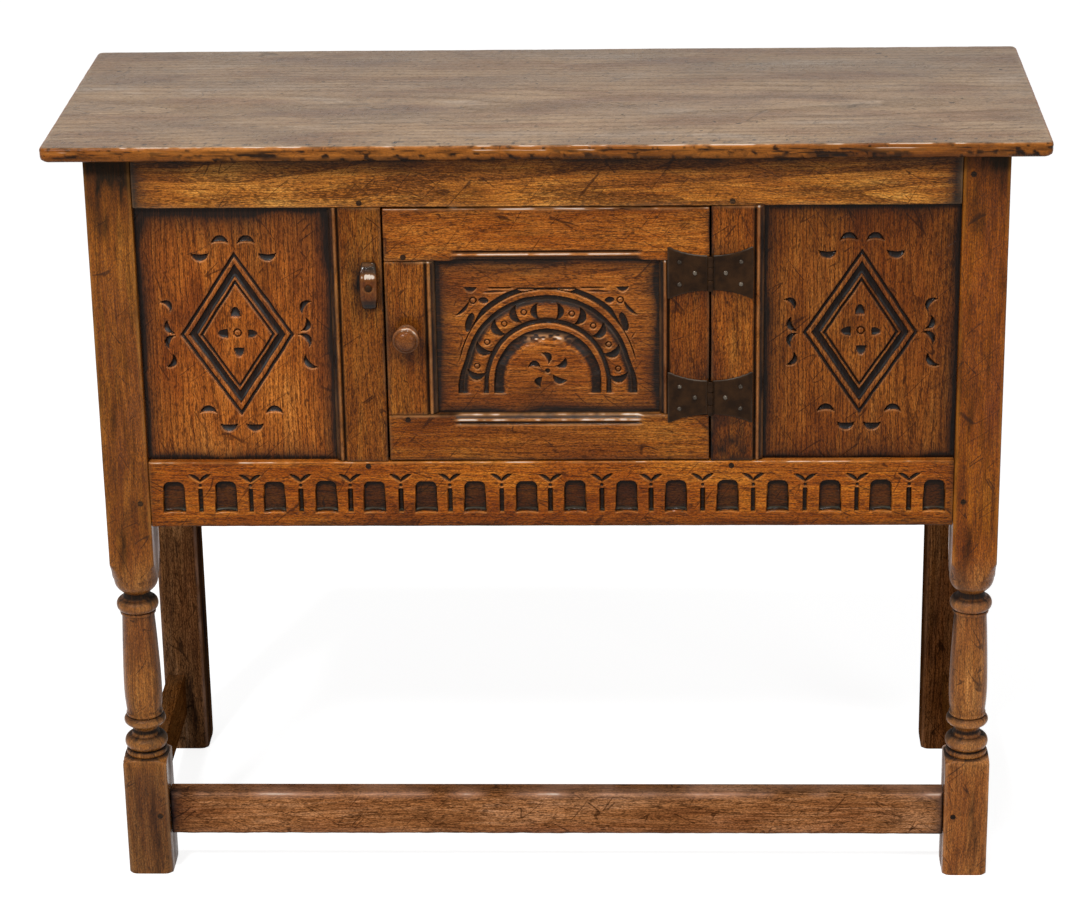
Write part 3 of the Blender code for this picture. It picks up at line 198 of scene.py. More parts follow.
def lunette_cut(u, v):
    """The door's half round: two fillets, a band of discs, a scalloped groove and a whirl of five commas."""
    x, z = from_point(u, v, LUNETTE)
    x = x + 0.3 * noise(x / 25, z / 25, 13)
    arch = x / (1 + 0.0013 * np.maximum(np.abs(x) - 42, 0) * smooth(45, 8, z))
    # The arcs are stilted, the wider ones more
    r = np.hypot(arch, np.maximum(z - 19, 0))
    for _ in range(2):
        r = np.hypot(arch, np.maximum(z - 9 - 0.14 * r, 0))
    rim = r + 0.22 * noise(x / 8, z / 8, 14)
    above = np.clip(z / 0.8 + 0.5, 0, 1)
    facet = np.abs(np.sin(np.arctan2(z - 20, x) * 6.5))
    scallop = 42.0 + 2.6 * facet
    cove = np.clip((rim - scallop) / (57.2 - scallop), 0, 1)
    groove = 4.8 * cove ** 0.7 * (0.66 + 0.34 * facet ** 0.6) * np.clip((57.4 - rim) / 0.9, 0, 1)
    fillets = [3.8 * band(rim, 85.6, 91.2, 1.2), 3.4 * band(rim, 61.8, 67.8, 1.5)]
    cuts = [cut * above for cut in (*fillets, groove)]
    # The band of discs slopes down to both fillets
    cuts.append(2.3 * smooth(75, 86.6, rim) * (rim < 90) * above)
    cuts.append(1.9 * smooth(72.5, 65.5, rim) * (rim > 62.5) * above)
    wedge = 4.6 * smooth(24, 34, np.abs(x)) * smooth(83, 68, np.abs(x))
    cuts.append(3.4 * band(rim, 95.8, 97.4 + wedge, 0.8) * smooth(30, 50, z))
    for place in np.array(DISCS):
        out = place - (0, 19.5)
        out = out / math.hypot(*out)
        side = np.array((-out[1], out[0])) * (1 if place[0] < 0 else -1)
        tips = (place + 2.6 * side + 9.6 * out, place + 3.6 * side - 11.0 * out)
        start, end = tips if place[0] > 0 else tips[::-1]
        cuts.append(lens(x, z, start, end, 3.9, 12.9, 4.6, 0.9, 0.5, 0.4))
        cuts.append(ring_punch(x, z, place - side, 2.9, 1.2, 2.6))
    # The crown of the band: two gouge cuts with a punch between them
    for tips in (((-6.8, 84), (-8, 103.4)), ((9.4, 103.4), (8.2, 84))):
        cuts.append(lens(x, z, *tips, 3.0, 10.8, 4.2, 0.9, 0.55))
    cuts.append(ring_punch(x, z, (0.6, 94.2), 2.6, 0.9, 0.6))
    for start, end, low, high in WHIRL:
        cuts.append(lens(x, z, start, end, low - 0.3, high + 1.2, 3.8, 0.9, 0.6))
    cuts.append(2.8 * np.clip((3.2 - np.hypot(x - 0.1, z - 25.8)) / 1.2, 0, 1))
    for m in (-x, x):
        for start, end, low, high, depth, power in LEAVES:
            cuts.append(lens(m, z, start, end, low, high, depth, 0.9, power))
        cuts.append(ring_punch(m, z, (79.4, 106.6), 3.4, 1.2, 2.6))
        cuts.append(2.2 * band(z, 119.6, 122.2, 0.9) * smooth(66, 60, m) * smooth(34, 40, m) * (m > 0))
    cuts.append(2.4 * band(z, 118.4, 121.4, 0.9) * smooth(37, 29, np.abs(x)))
    return np.max(cuts, 0) * MM


def lunette_glint(u, v):
    """A painted highlight on the facets at the head of the door's groove."""
    x, z = from_point(u, v, LUNETTE)
    head = bell(x, 0, 20) * bell(z, 62.5, 3.6)
    return 1.5 * head * np.clip(0.2 + 1.6 * noise(x / 4, z / 2, 15), 0, 1)


# Middles of the frieze's niches and of the slots between them, which were set out by eye
NICHES = np.array([-415.4, -357.9, -304.1, -246.8, -193.5, -136.4, -82.5, -25.5,
                   27.7, 84.4, 138.6, 195.2, 250.1, 307.5, 362.9, 421.2])
SLOTS = np.array([-385.9, -330.3, -274.7, -219.9, -164.2, -110.0, -53.1, 0.6,
                  57.3, 111.3, 167.8, 223.3, 280.0, 336.7, 393.6])


def frieze_cut(u, v):
    """Sixteen sunk niches, with a slot, a punch and a pair of gull wings between each two."""
    x, z = from_point(u, v, (0, 0))
    cell = np.digitize(x, (NICHES[1:] + NICHES[:-1]) / 2)
    wobble = 2 * lattice(cell, 0 * cell, 31) - 1
    a = np.abs(x - NICHES[cell])
    half = 12.8 - 0.035 * (z - 451) + 0.25 * noise(x / 11, z / 11, 33)
    top = 486.8 + 0.6 * wobble
    corner = np.hypot(np.maximum(a - (half - 7), 0), np.maximum(z - (top - 7), 0))
    inside = np.minimum(half - a, 7 - corner)
    sill = 448.4 + 2.8 * np.sqrt(np.clip(1 - (a / 14) ** 2, 0, 1))
    niche = 5.0 * np.clip(inside / 1.3, 0, 1) * smooth(-1.8, 1.8, z - sill)
    side = np.digitize(x, (SLOTS[1:] + SLOTS[:-1]) / 2)
    b = x - SLOTS[side]
    slot = 4.0 * np.clip((2.75 - np.abs(b)) / 0.8, 0, 1) * band(z, 449.6, 478.0, 1.4)
    dot = 2.0 * np.clip((2.5 - np.hypot(b, z - 481.6)) / 1.0, 0, 1)
    h = z - 0.5 * (2 * lattice(side, 0 * side + 3, 37) - 1)
    wings = [lens(b, h, *tips, -0.9, 4.2, 3.6, 0.9, 0.6)
             for tips in (((-12.8, 494), (0.3, 484.6)), ((-0.3, 484.6), (12.8, 494.3)))]
    return np.max([niche, slot, dot, *wings], 0) * MM


# The scratched moulding by distance from the panel edge: slope, bead and quirk, and the dirt and painted
# shade that each holds
MOULD_ACROSS = np.array([0, 1.0, 2.2, 3.4, 4.2, 4.8, 5.5, 6.6, 7.7, 8.5, 9.1, 10.2, 11.2, 12.2]) * MM
MOULD_DROP = np.array([5.5, 4.9, 4.1, 3.3, 3.0, 2.1, 1.2, 0.7, 1.1, 2.4, 3.2, 3.0, 1.3, 0.0]) * MM
MOULD_DIRT_AND_SHADE = np.array([0.9, 0.75, 0.62, 0.7, 0.8, 0.35, 0.05, 0.0, 0.1, 0.7, 1.0, 1.0, 0.75, 0.0])
# Where its beads are worn and carry painted highlights: upright, over the panel and under it
RUBBED_AND_GLINT_UPRIGHT = np.array([0.2, 0, 0, 0, 0, 0.2, 0.5, 0.55, 0.2, 0, 0, 0, 0.1, 0.3])
RUBBED_AND_GLINT_OVER = np.array([0, 0, 0, 0, 0, 0, 0.1, 0.8, 0.95, 0.3, 0, 0, 0, 0.1])
RUBBED_AND_GLINT_UNDER = np.array([0.3, 0.75, 0.3, 0, 0, 0.5, 0.92, 0.9, 0.3, 0, 0, 0, 0.3, 0.8])
MOULD_EDGE_DIRT_AND_SHADE = (0.0024, 1.0)


def moulded(distance, rubbed_and_glint=RUBBED_AND_GLINT_UPRIGHT, reach=None):
    """What a board is given for a moulding whose distance from the panel edge is a function of place.

    The mouldings of the door's rails die out at reach, before the stiles.
    """
    def field(table):
        def value(u, v):
            found = np.interp(distance(u, v), MOULD_ACROSS, table, right=0)
            return found * smooth(reach + 5 * MM, reach - 6 * MM, np.abs(u)) if reach else found
        return value
    return {"carve": field(MOULD_DROP), "stain_and_shade": field(MOULD_DIRT_AND_SHADE), "rubbed_and_glint": field(rubbed_and_glint), "soil_and_shade": 0,
            "edge_dirt_and_shade": MOULD_EDGE_DIRT_AND_SHADE}


# Dirt and painted shade by place
AWAY = 1.0


def border(left, right, bottom, top, seed, near=(1.0, 0.0075), wide=(0.5, 0.026), top_shadow=(0.0, 0.05)):
    """Dirt and painted shade that gather along the edges of an opening; each pair is an amount and how far it
    reaches. The last pair paints a shadow under the top edge only.

    An edge that holds no dirt or shade is put AWAY from the board.
    """
    def stain_and_shade(u, v):
        gap = np.minimum(np.minimum(u - left, right - u), np.minimum(v - bottom, top - v)).clip(0)
        patch = 0.85 + 0.3 * noise(u * 28, v * 28, seed)
        over = top_shadow[0] * np.exp(-np.clip(top - v, 0, None) / top_shadow[1])
        return patch * (over + sum(amount * np.exp(-gap / reach) for amount, reach in (near, wide)))
    return stain_and_shade


def darkened_round(looks, x, z, wide, tall, amount):
    """A moulded board's looks, with a dark patch round a place; each call says what the patch is."""
    def stain_and_shade(u, v):
        patch = bell(u, x, wide) * bell(v, z, tall)
        return looks["stain_and_shade"](u, v) + amount * patch * (1 + 0.5 * noise(u * 90, v * 90, 47))
    return {**looks, "stain_and_shade": stain_and_shade}


def by_hinges(looks):
    """A moulded board's looks, with the dark wood round both hinges."""
    for side in ("upper", "lower"):
        low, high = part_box(f"{side}_hinge_pin")
        looks = darkened_round(looks, low.x, (low.z + high.z) / 2, 0.060, 0.034, 0.55)
    return looks


# Meshes
AXES = {
    "front": ((1, 0, 0), (0, 0, 1), (0, 1, 0)),
    "back": ((-1, 0, 0), (0, 0, 1), (0, -1, 0)),
    "left": ((0, -1, 0), (0, 0, 1), (1, 0, 0)),
    "right": ((0, 1, 0), (0, 0, 1), (-1, 0, 0)),
    "top": ((1, 0, 0), (0, 1, 0), (0, 0, -1)),
}
SHARP = math.radians(50)
BOARD_SPREAD = 0.12
POST_SPREAD = 0.05
KNOB_SPREAD = 0.02
POST_CORNER = 0.0022


def add_piece(name, verts, faces, body, nodes, finish, values):
    """A mesh with its vertex values, on its body; finish is a slot, which is not used, and a material."""
    slot, material = finish
    mesh = bpy.data.meshes.new(name)
    mesh.from_pydata(verts.tolist(), [], faces)
    for key, field in values.items():
        vector = field.ndim == 2
        data = mesh.attributes.new(key, "FLOAT_VECTOR" if vector else "FLOAT", "POINT").data
        data.foreach_set("vector" if vector else "value", field.astype(np.float32).ravel())
    mesh.shade_smooth()
    mesh.set_sharp_from_angle(angle=SHARP)
    for face in mesh.polygons:
        face.use_smooth = face.loop_total == 4
    mesh.materials.append(material)
    piece = bpy.data.objects.new(name, mesh)
    bpy.context.scene.collection.objects.link(piece)
    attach(piece, body)
    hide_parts(*nodes)


def in_tree(along, across, depth, seed, spread):
    """Grain coordinates in millimetres: where a point lies in the tree that its board was sawn from."""
    chance = lattice(np.array([seed, seed + 1.0, seed + 2.0]), np.array([1.0, 2.0, 3.0]), 17)
    centre = (across.min() + across.max()) / 2
    pith = centre + (chance[0] - 0.5) * spread
    lean = (chance[1] - 0.5) * 0.09
    far = (0.03 + 0.07 * chance[2]) + lean * (along - along.mean())
    place = np.stack([along + seed * 0.731, across - pith, depth + far], -1)
    return place.reshape(-1, 3) / MM


def ruled(low, high, edge, step):
    """Grid lines, close together over the rounded edges."""
    near = edge * np.array([0, 0.08, 0.25, 0.55, 1.0])
    count = max(2, int(round((high - low - 3.4 * edge) / step)) + 1)
    inner = np.linspace(low + 1.7 * edge, high - 1.7 * edge, count)
    return np.concatenate([low + near, inner, (high - near)[::-1]])


def rounded(u, v, near, edge, uneven, seed):
    """How far an arris, worn unevenly, falls away by the distance to the nearest edge."""
    radius = 0.3 * noise(u * 55, v * 55, seed) + 0.2 * noise(u * 160, v * 160, seed + 1)
    radius = edge * (1 + uneven * radius)
    inward = np.clip(radius - near, 0, None)
    return radius - np.sqrt(np.clip(radius ** 2 - inward ** 2, 0, None))


def edge_wear_and_highlight(u, v, near, lying, edge, shine, seed):
    """Wear of the arrises, with painted highlight: most on the upper one, where the lamps would glint, and a
    broken painted highlight along it if shine is given.

    A lying board has its painted highlight along the front.
    """
    above = v.max() - v <= near
    below = v - v.min() <= near
    lit = 0.3 if lying else np.where(above, 1.0, np.where(below, 0.2, 0.3))
    line = bell(near, 0.9 * edge, 0.9 * edge)
    thin = bell(near, 0.55 * edge, 0.36 * edge)
    bright = (0.50 + 1.5 * rough_noise(u * 48, v * 50, seed + 10)).clip(0, 1)
    worn = lit * line * (0.35 + 0.8 * rough_noise(u * 30, v * 30, seed + 7)).clip(0)
    return worn + shine * (below if lying else above) * thin * bright


def carved(cut, u, v, step, soil_and_shade, painted_sheen_share, seed):
    """Dirt and painted shade, a painted sheen, and wear with painted highlights of a carved face.

    Dirt and painted shade darken the floors of the cuts, narrow cuts most, and a painted shadow lies under
    their upper edges. A painted grey sheen lies on floors that face up, the ridges are worn, and the lower
    lips get pale wear that stands in for a highlight.
    """
    # Painted shadow: the floor darkens just under each cut's upper edge, where shade falls
    under = np.zeros_like(cut)
    for reach, share in ((0.0012, 1.0), (0.0026, 0.95), (0.0042, 0.7), (0.0060, 0.35)):
        above = np.roll(cut, -max(1, round(reach / step)), 1)
        under = np.maximum(under, share * np.clip((cut - above) / 0.0014, 0, 1))
    above = np.roll(cut, -max(1, round(0.0011 / step)), 1)
    floor = smooth(0.0009, 0.0022, cut)
    tilt = blur(np.gradient(cut, axis=1), 1.0) / step
    # Dirt and painted shade: cut floors are dark, and narrow cuts darker still
    narrow = 1 - blur(floor, 0.004 / step)
    dirt_and_shade = soil_and_shade * floor * (0.82 + 0.34 * narrow) + 0.30 * soil_and_shade * under
    patch = 0.65 + 0.5 * noise(u * 90, v * 90, seed + 9)
    # Painted sheen: cut floors that tilt up toward the lamps are painted grey-blue, as a reflection
    painted_sheen = painted_sheen_share * floor * smooth(0.04, 0.25, tilt) * smooth(1.1, 0.6, tilt) * (1 - under) * patch
    ridge = (blur(cut, 0.0012 / step) - cut) / 0.0006
    # Painted highlight: the lower lips, which face up to the lamps, get pale worn colour; the ridges are worn
    lip = np.clip((above - cut) / 0.0012, 0, 1) * smooth(0.0012, 0.0004, cut)
    wear_and_highlight = (0.10 * np.clip(ridge, 0, 1) + 0.55 * lip) * (0.7 + 0.5 * noise(u * 70, v * 70, seed + 8))
    return dirt_and_shade, painted_sheen, wear_and_highlight


def round_corners(u, v, corner):
    """A grid with its four corners drawn in to a radius."""
    inside = [corner - np.minimum(axis - axis.min(), axis.max() - axis) for axis in (u, v)]
    both = (inside[0] > 0) & (inside[1] > 0)
    share = np.where(both, np.maximum(*inside) / np.maximum(np.hypot(*inside), 1e-9), 1)
    drawn = []
    for axis, depth in zip((u, v), inside):
        low, high = axis.min(), axis.max()
        short = corner - depth * share
        drawn.append(np.where(both, np.where(axis < (low + high) / 2, low + short, high - short), axis))
    return drawn


def toward_middle(place, corner):
    """The way inward along one axis, 1 or -1, for an outline's points on the two sides that face along it."""
    gap = (place.min() + place.max()) / 2 - place
    return np.sign(gap) * (np.abs(gap) > gap.max() - 1.01 * corner)


def board_sides(rim, thick, corner, back_edge, rings, chips, knocks, seed):
    """Points, dirt, and wear with painted highlights of a board's four sides, in loops from below its rim to
    its flat back.
    """
    levels = [(rim[2] + (thick - back_edge - rim[2]) * k / rings, 0) for k in range(1, rings + 1)]
    for bend in np.linspace(0, math.pi / 2, 4)[1:]:
        levels.append((thick - back_edge * (1 - math.sin(bend)), back_edge * (1 - math.cos(bend))))
    in_u = toward_middle(rim[0], corner)
    in_v = toward_middle(rim[1], corner)
    place = rim[0] + rim[1]
    points, dirt_and_shade, wear_and_highlight = [], [], []
    for k, (level, inset) in enumerate(levels):
        level = np.broadcast_to(level, place.shape)
        spots = flecked(place * 22, level * 160, seed + 12, 0.05)
        streaks = flecked(place * 46, level * 620, seed + 15, 0.08)
        flecks = flecked(place * 120, level * 210, seed + 13, 0.22)
        bright = np.clip(2.2 * rough_noise(place * 19, level * 150, seed + 14), 0, 1)
        dent = inset + (chips * (0.25 + spots) if 0 < k < rings else 0)
        points.append(np.stack([rim[0] + in_u * dent, rim[1] + in_v * dent, level]))
        marked = k < len(levels) - 1
        dirt_and_shade.append(0.05 + marked * knocks * (1.5 * spots + 1.5 * streaks + 2.6 * flecks))
        # Bright patches just under the rim are wear and painted highlights, where an upper arris would glint
        wear_and_highlight.append(marked * bright * min(1.0, 2 * knocks) * (1.0 if k == 0 else 0.5 if k < 3 else 0.2))
    return points, dirt_and_shade, wear_and_highlight


def board(name, wall, box, finish, seed, body="case", grain="u", step=0.012, carve=None, soil_and_shade=0.9,
          painted_sheen_share=1.0, stain_and_shade=None, rubbed_and_glint=None, edge=0.0014, corner=0.0014, back_edge=0.0010, rings=1,
          wave=0.00025, chips=0.0, uneven=1.0, edge_dirt_and_shade=(0.006, 0.35), knocks=0.3, shine=0.0, tone_and_light=1.0,
          rim_tone=1.0, warp=None):
    """A closed board: a height field over the face named by wall, straight sides and a flat back.

    Functions of place give the cut depth (carve), the dirt and painted shade, and the wear and painted
    highlights. Dirt and painted shade also reach in from the edges: a pair gives how far, and how much there
    is. shine paints a broken highlight along the upper arris. rings counts the loops of points down the
    sides, which knocks mark.
    """
    axes = np.array(AXES[wall], float)
    ends = np.array(box, float) @ axes.T
    u0, v0, w0 = ends.min(0)
    u1, v1, w1 = ends.max(0)
    step_u, step_v = step if isinstance(step, tuple) else (step, step)
    u, v = np.meshgrid(ruled(u0, u1, edge, step_u), ruled(v0, v1, edge, step_v), indexing="ij")
    near = np.minimum(np.minimum(u - u0, u1 - u), np.minimum(v - v0, v1 - v))
    nick = flecked(u * 130, v * 130, seed + 4, 0.42) * np.exp(-near / (2 * edge))
    swell = 0.6 + 0.4 * noise(u * 8, v * 8, seed + 2) + 0.2 * noise(u * 37, v * 37, seed + 3)
    depth = rounded(u, v, near, edge, uneven, seed) + wave * swell + chips * nick
    # Dirt and painted shade where the board meets its neighbours, reaching in from every edge
    dirt_and_shade = edge_dirt_and_shade[1] * np.exp(-near / edge_dirt_and_shade[0]) * (0.75 + 0.5 * noise(u * 40, v * 40, seed + 6)) + nick
    wear_and_highlight = edge_wear_and_highlight(u, v, near, wall == "top", edge, shine, seed)
    painted_sheen = np.zeros_like(dirt_and_shade)
    if rubbed_and_glint:
        wear_and_highlight = wear_and_highlight + rubbed_and_glint(u, v) * (0.78 + 0.9 * rough_noise(u * 75, v * 75, seed + 11)).clip(0, 1)
    if carve:
        cut = carve(u, v)
        depth = depth + cut
        cut_dirt_and_shade, painted_sheen, cut_wear_and_highlight = carved(cut, u, v, step_v, soil_and_shade, painted_sheen_share, seed)
        dirt_and_shade = dirt_and_shade + cut_dirt_and_shade
        wear_and_highlight = wear_and_highlight + cut_wear_and_highlight
    if stain_and_shade:
        dirt_and_shade = dirt_and_shade + stain_and_shade(u, v)
    u, v = round_corners(u, v, corner)
    index = np.arange(u.size).reshape(u.shape)
    loop = np.concatenate([index[:-1, 0], index[-1, :-1], index[:0:-1, -1], index[0, :0:-1]])
    face = np.stack([u.ravel(), v.ravel(), depth.ravel()])
    sides, side_dirt, side_wear_and_highlight = board_sides(face[:, loop], w1 - w0, corner, back_edge, rings, chips, knocks,
                                              seed)
    all_u, all_v, all_w = np.concatenate([face, *sides], 1)
    extra = all_u.size - u.size
    along, across = (all_u, all_v) if grain == "u" else (all_v, all_u)
    rim = np.concatenate([smooth(edge, 0.2 * edge, near).ravel(), np.ones(extra)])[:, None]
    values = {
        "grain": in_tree(along, across, all_w, seed, BOARD_SPREAD),
        "dirt_and_shade": np.concatenate([dirt_and_shade.ravel(), *side_dirt]).clip(0, 1),
        "painted_sheen": np.concatenate([painted_sheen.ravel(), np.zeros(extra)]).clip(0, 1),
        "wear_and_highlight": np.concatenate([wear_and_highlight.ravel(), *side_wear_and_highlight]).clip(0, 1),
        "tone_and_light": np.ones((all_u.size, 3)) * tone_and_light * (1 + (np.array(rim_tone) - 1) * rim),
    }
    if warp:
        all_u, all_v = warp(all_u, all_v)
    verts = np.stack([all_u, all_v, all_w + w0], -1) @ axes
    quads = [np.stack([index[:-1, :-1], index[1:, :-1], index[1:, 1:], index[:-1, 1:]], -1).reshape(-1, 4)]
    ring = loop
    for k in range(len(sides)):
        after = u.size + k * len(loop) + np.arange(len(loop))
        quads.append(np.stack([ring, after, np.roll(after, -1), np.roll(ring, -1)], -1))
        ring = after
    faces = np.concatenate(quads).tolist() + [ring[::-1].tolist()]
    add_piece(name, verts, faces, body, [name], finish, values)


def square_radius(turn, half, corner):
    """Distance from the middle of a rounded square to its outline, by angle."""
    a = np.abs(np.cos(turn))
    b = np.abs(np.sin(turn))
    a, b = np.maximum(a, b), np.minimum(a, b)
    flat = half / a
    inner = half - corner
    dot = (a + b) * inner
    arc = dot + np.sqrt(np.clip(dot ** 2 - (2 * inner ** 2 - corner ** 2), 0, None))
    return np.where(flat * b <= inner, flat, arc)


def spun(name, profile, turns, place, axis, finish, seed, body="case", nodes=(), half=None, tone_and_light=1.0,
         wobble=0.004, stain_and_shade=None, rubbed_and_glint=None):
    """A closed turning from (radius, height) points, bottom to top, inside a square post if half is given."""
    profile = np.array(profile, float)
    base, level = profile.T
    heights = np.repeat(level[:, None], len(turns), 1)
    radius = base[:, None] * (1 + wobble * noise(level[:, None] * 40, turns[None, :] * 1.3, seed))
    wear_and_highlight = np.zeros_like(radius)
    if half:
        post = square_radius(turns, half, POST_CORNER)[None, :]
        post = post * (1 - 0.006 * (0.5 + 0.5 * rough_noise(heights * 30, turns[None, :] * 2, seed + 3)))
        radius = np.minimum(radius, post)
        arris = bell(np.abs(np.sin(2 * turns)), 1, 0.010)[None, :]
        patch = 0.7 + 0.5 * noise(heights * 60, 0 * radius, seed)
        wear_and_highlight = wear_and_highlight + 0.40 * arris * (base > half * 1.3)[:, None] * patch
        base = np.minimum(base, half)
    # Dirt and painted shade darken the hollows; the shoulders that face up are darker too
    rise = np.gradient(level) + 1e-6
    gap = level[None, :] - level[:, None]
    over, under = (np.where((sign * gap >= 0) & (sign * gap < 0.009), base[None, :], 0).max(1)
                   for sign in (1, -1))
    hollow = np.clip((np.minimum(over, under) - base) / 0.0035, 0, 1)
    facing_up = np.clip(-np.gradient(base) / np.hypot(np.gradient(base), rise), 0, 1) * (axis == "z")
    dirt_and_shade = np.maximum(hollow, 0.75 * facing_up)[:, None] * np.ones_like(radius)
    if stain_and_shade:
        dirt_and_shade = dirt_and_shade + stain_and_shade(turns[None, :], heights)
    # Wear lies on what stands out from its surroundings
    spread = np.array([np.average(base, weights=bell(level, h, 0.006) * np.abs(rise)) for h in level])
    wear_and_highlight = wear_and_highlight + np.clip((base - spread) / 0.004, 0, 1)[:, None] * 0.4 * (1 - facing_up)[:, None]
    if rubbed_and_glint:
        wear_and_highlight = wear_and_highlight + rubbed_and_glint(turns[None, :], heights)
    x = radius * np.cos(turns)
    y = radius * np.sin(turns)
    if axis == "z":
        verts = np.stack([place[0] + x, place[1] + y, place[2] + heights], -1).reshape(-1, 3)
        tree = in_tree(verts[:, 2], verts[:, 0], verts[:, 1] - place[1], seed, POST_SPREAD)
    else:
        verts = np.stack([place[0] + x, place[1] - heights, place[2] + y], -1).reshape(-1, 3)
        tree = in_tree(verts[:, 1], verts[:, 0], verts[:, 2] - place[2], seed, KNOB_SPREAD)
    index = np.arange(radius.size).reshape(radius.shape)
    after = np.roll(index, -1, 1)
    quads = np.stack([index[:-1], after[:-1], after[1:], index[1:]], -1).reshape(-1, 4)
    faces = quads.tolist() + [index[0, ::-1].tolist(), index[-1].tolist()]
    values = {"grain": tree, "dirt_and_shade": np.clip(dirt_and_shade, 0, 1).ravel(), "wear_and_highlight": np.clip(wear_and_highlight, 0, 1).ravel(),
              "tone_and_light": (np.ones((*radius.shape, 3)) * np.array(tone_and_light)).reshape(-1, 3)}
    add_piece(name, verts, faces, body, nodes, finish, values)


# Materials
class Graph:
    """A short way to write the shader nodes of a material or a world."""

    def __init__(self, owner, shader="Principled BSDF"):
        owner.use_nodes = True
        self.owner = owner
        self.tree = owner.node_tree
        self.shader = self.tree.nodes[shader]

    def add(self, kind, inputs=(), **settings):
        made = self.tree.nodes.new(kind)
        for key, value in settings.items():
            setattr(made, key, value)
        for key, value in dict(inputs).items():
            self.plug(made.inputs[key], value)
        return made

    def plug(self, socket, value):
        if isinstance(value, bpy.types.NodeSocket):
            self.tree.links.new(value, socket)
        else:
            socket.default_value = value

    def shade(self, **values):
        for key, value in values.items():
            self.plug(self.shader.inputs[key.replace("_", " ")], value)

    def math(self, operation, a, b=0.0):
        return self.add("ShaderNodeMath", {0: a, 1: b}, operation=operation).outputs[0]

    def times(self, a, b):
        return self.math("MULTIPLY", a, b)

    def plus(self, a, b):
        return self.math("ADD", a, b)

    def vector(self, operation, a, b=(0, 0, 0)):
        return self.add("ShaderNodeVectorMath", {0: a, 1: b}, operation=operation).outputs[0]

    def noise(self, vector, along, across, detail=2.0, roughness=0.5, output="Fac"):
        """Noise that is drawn out along the grain: two scales, per millimetre."""
        scaled = self.vector("MULTIPLY", vector, (along, across, across))
        inputs = {"Vector": scaled, "Scale": 1.0, "Detail": detail, "Roughness": roughness}
        return self.add("ShaderNodeTexNoise", inputs).outputs[output]

    def span(self, value, low, high, to_low=0.0, to_high=1.0):
        inputs = {"Value": value, "From Min": low, "From Max": high, "To Min": to_low, "To Max": to_high}
        return self.add("ShaderNodeMapRange", inputs, interpolation_type="SMOOTHSTEP").outputs[0]

    def blend(self, share, a, b, kind="MIX"):
        made = self.add("ShaderNodeMix", data_type="RGBA", blend_type=kind)
        for socket, value in zip((0, 6, 7), (share, a, b)):
            self.plug(made.inputs[socket], value)
        return made.outputs[2]

    def ramp(self, value, stops):
        made = self.add("ShaderNodeValToRGB", {"Fac": value})
        elements = made.color_ramp.elements
        for place, _ in stops[2:]:
            elements.new(place)
        for element, (place, colour) in zip(elements, stops):
            element.position = place
            element.color = (*colour, 1)
        return made.outputs[0]

    def read(self, name):
        return self.add("ShaderNodeAttribute", attribute_name=name).outputs

    def position(self):
        """The place in millimetres."""
        place = self.add("ShaderNodeNewGeometry").outputs["Position"]
        return self.vector("MULTIPLY", place, (1000, 1000, 1000))

    def bump(self, height, strength, distance):
        made = self.add("ShaderNodeBump", {"Height": height, "Strength": strength, "Distance": distance})
        self.shade(Normal=made.outputs[0])

    def seen_white(self):
        """1 for rays that show the backdrop: to the camera, in a gloss or through glass."""
        ray = self.add("ShaderNodeLightPath").outputs
        shown = self.math("MAXIMUM", ray["Is Camera Ray"], ray["Is Glossy Ray"])
        return self.math("MAXIMUM", shown, ray["Is Transmission Ray"])


# Near black, for dirt and for painted shade and shadow
DIRT_AND_SHADE_COLOUR = (0.0065, 0.0045, 0.0035, 1)
# Colour of the painted sheen on cut floors, a painted reflection
PAINTED_SHEEN_COLOUR = (0.058, 0.063, 0.065, 1)
# Colour of painted glints, standing in for highlights on edges
PAINTED_GLINT_COLOUR = (0.72, 0.62, 0.52, 1)
# Rubbed iron, also the colour of painted highlights on iron
RUBBED_AND_GLINT_IRON = (0.24, 0.20, 0.16, 1)
# What dark and pale patina do to the colour, and how much paler worn oak and its painted highlights are
DARK_PATINA = (0.62, 0.50, 0.45, 1)
PALE_PATINA = (1.12, 1.28, 1.6, 1)
WORN_PALER = (0.14, 0.10, 0.065)


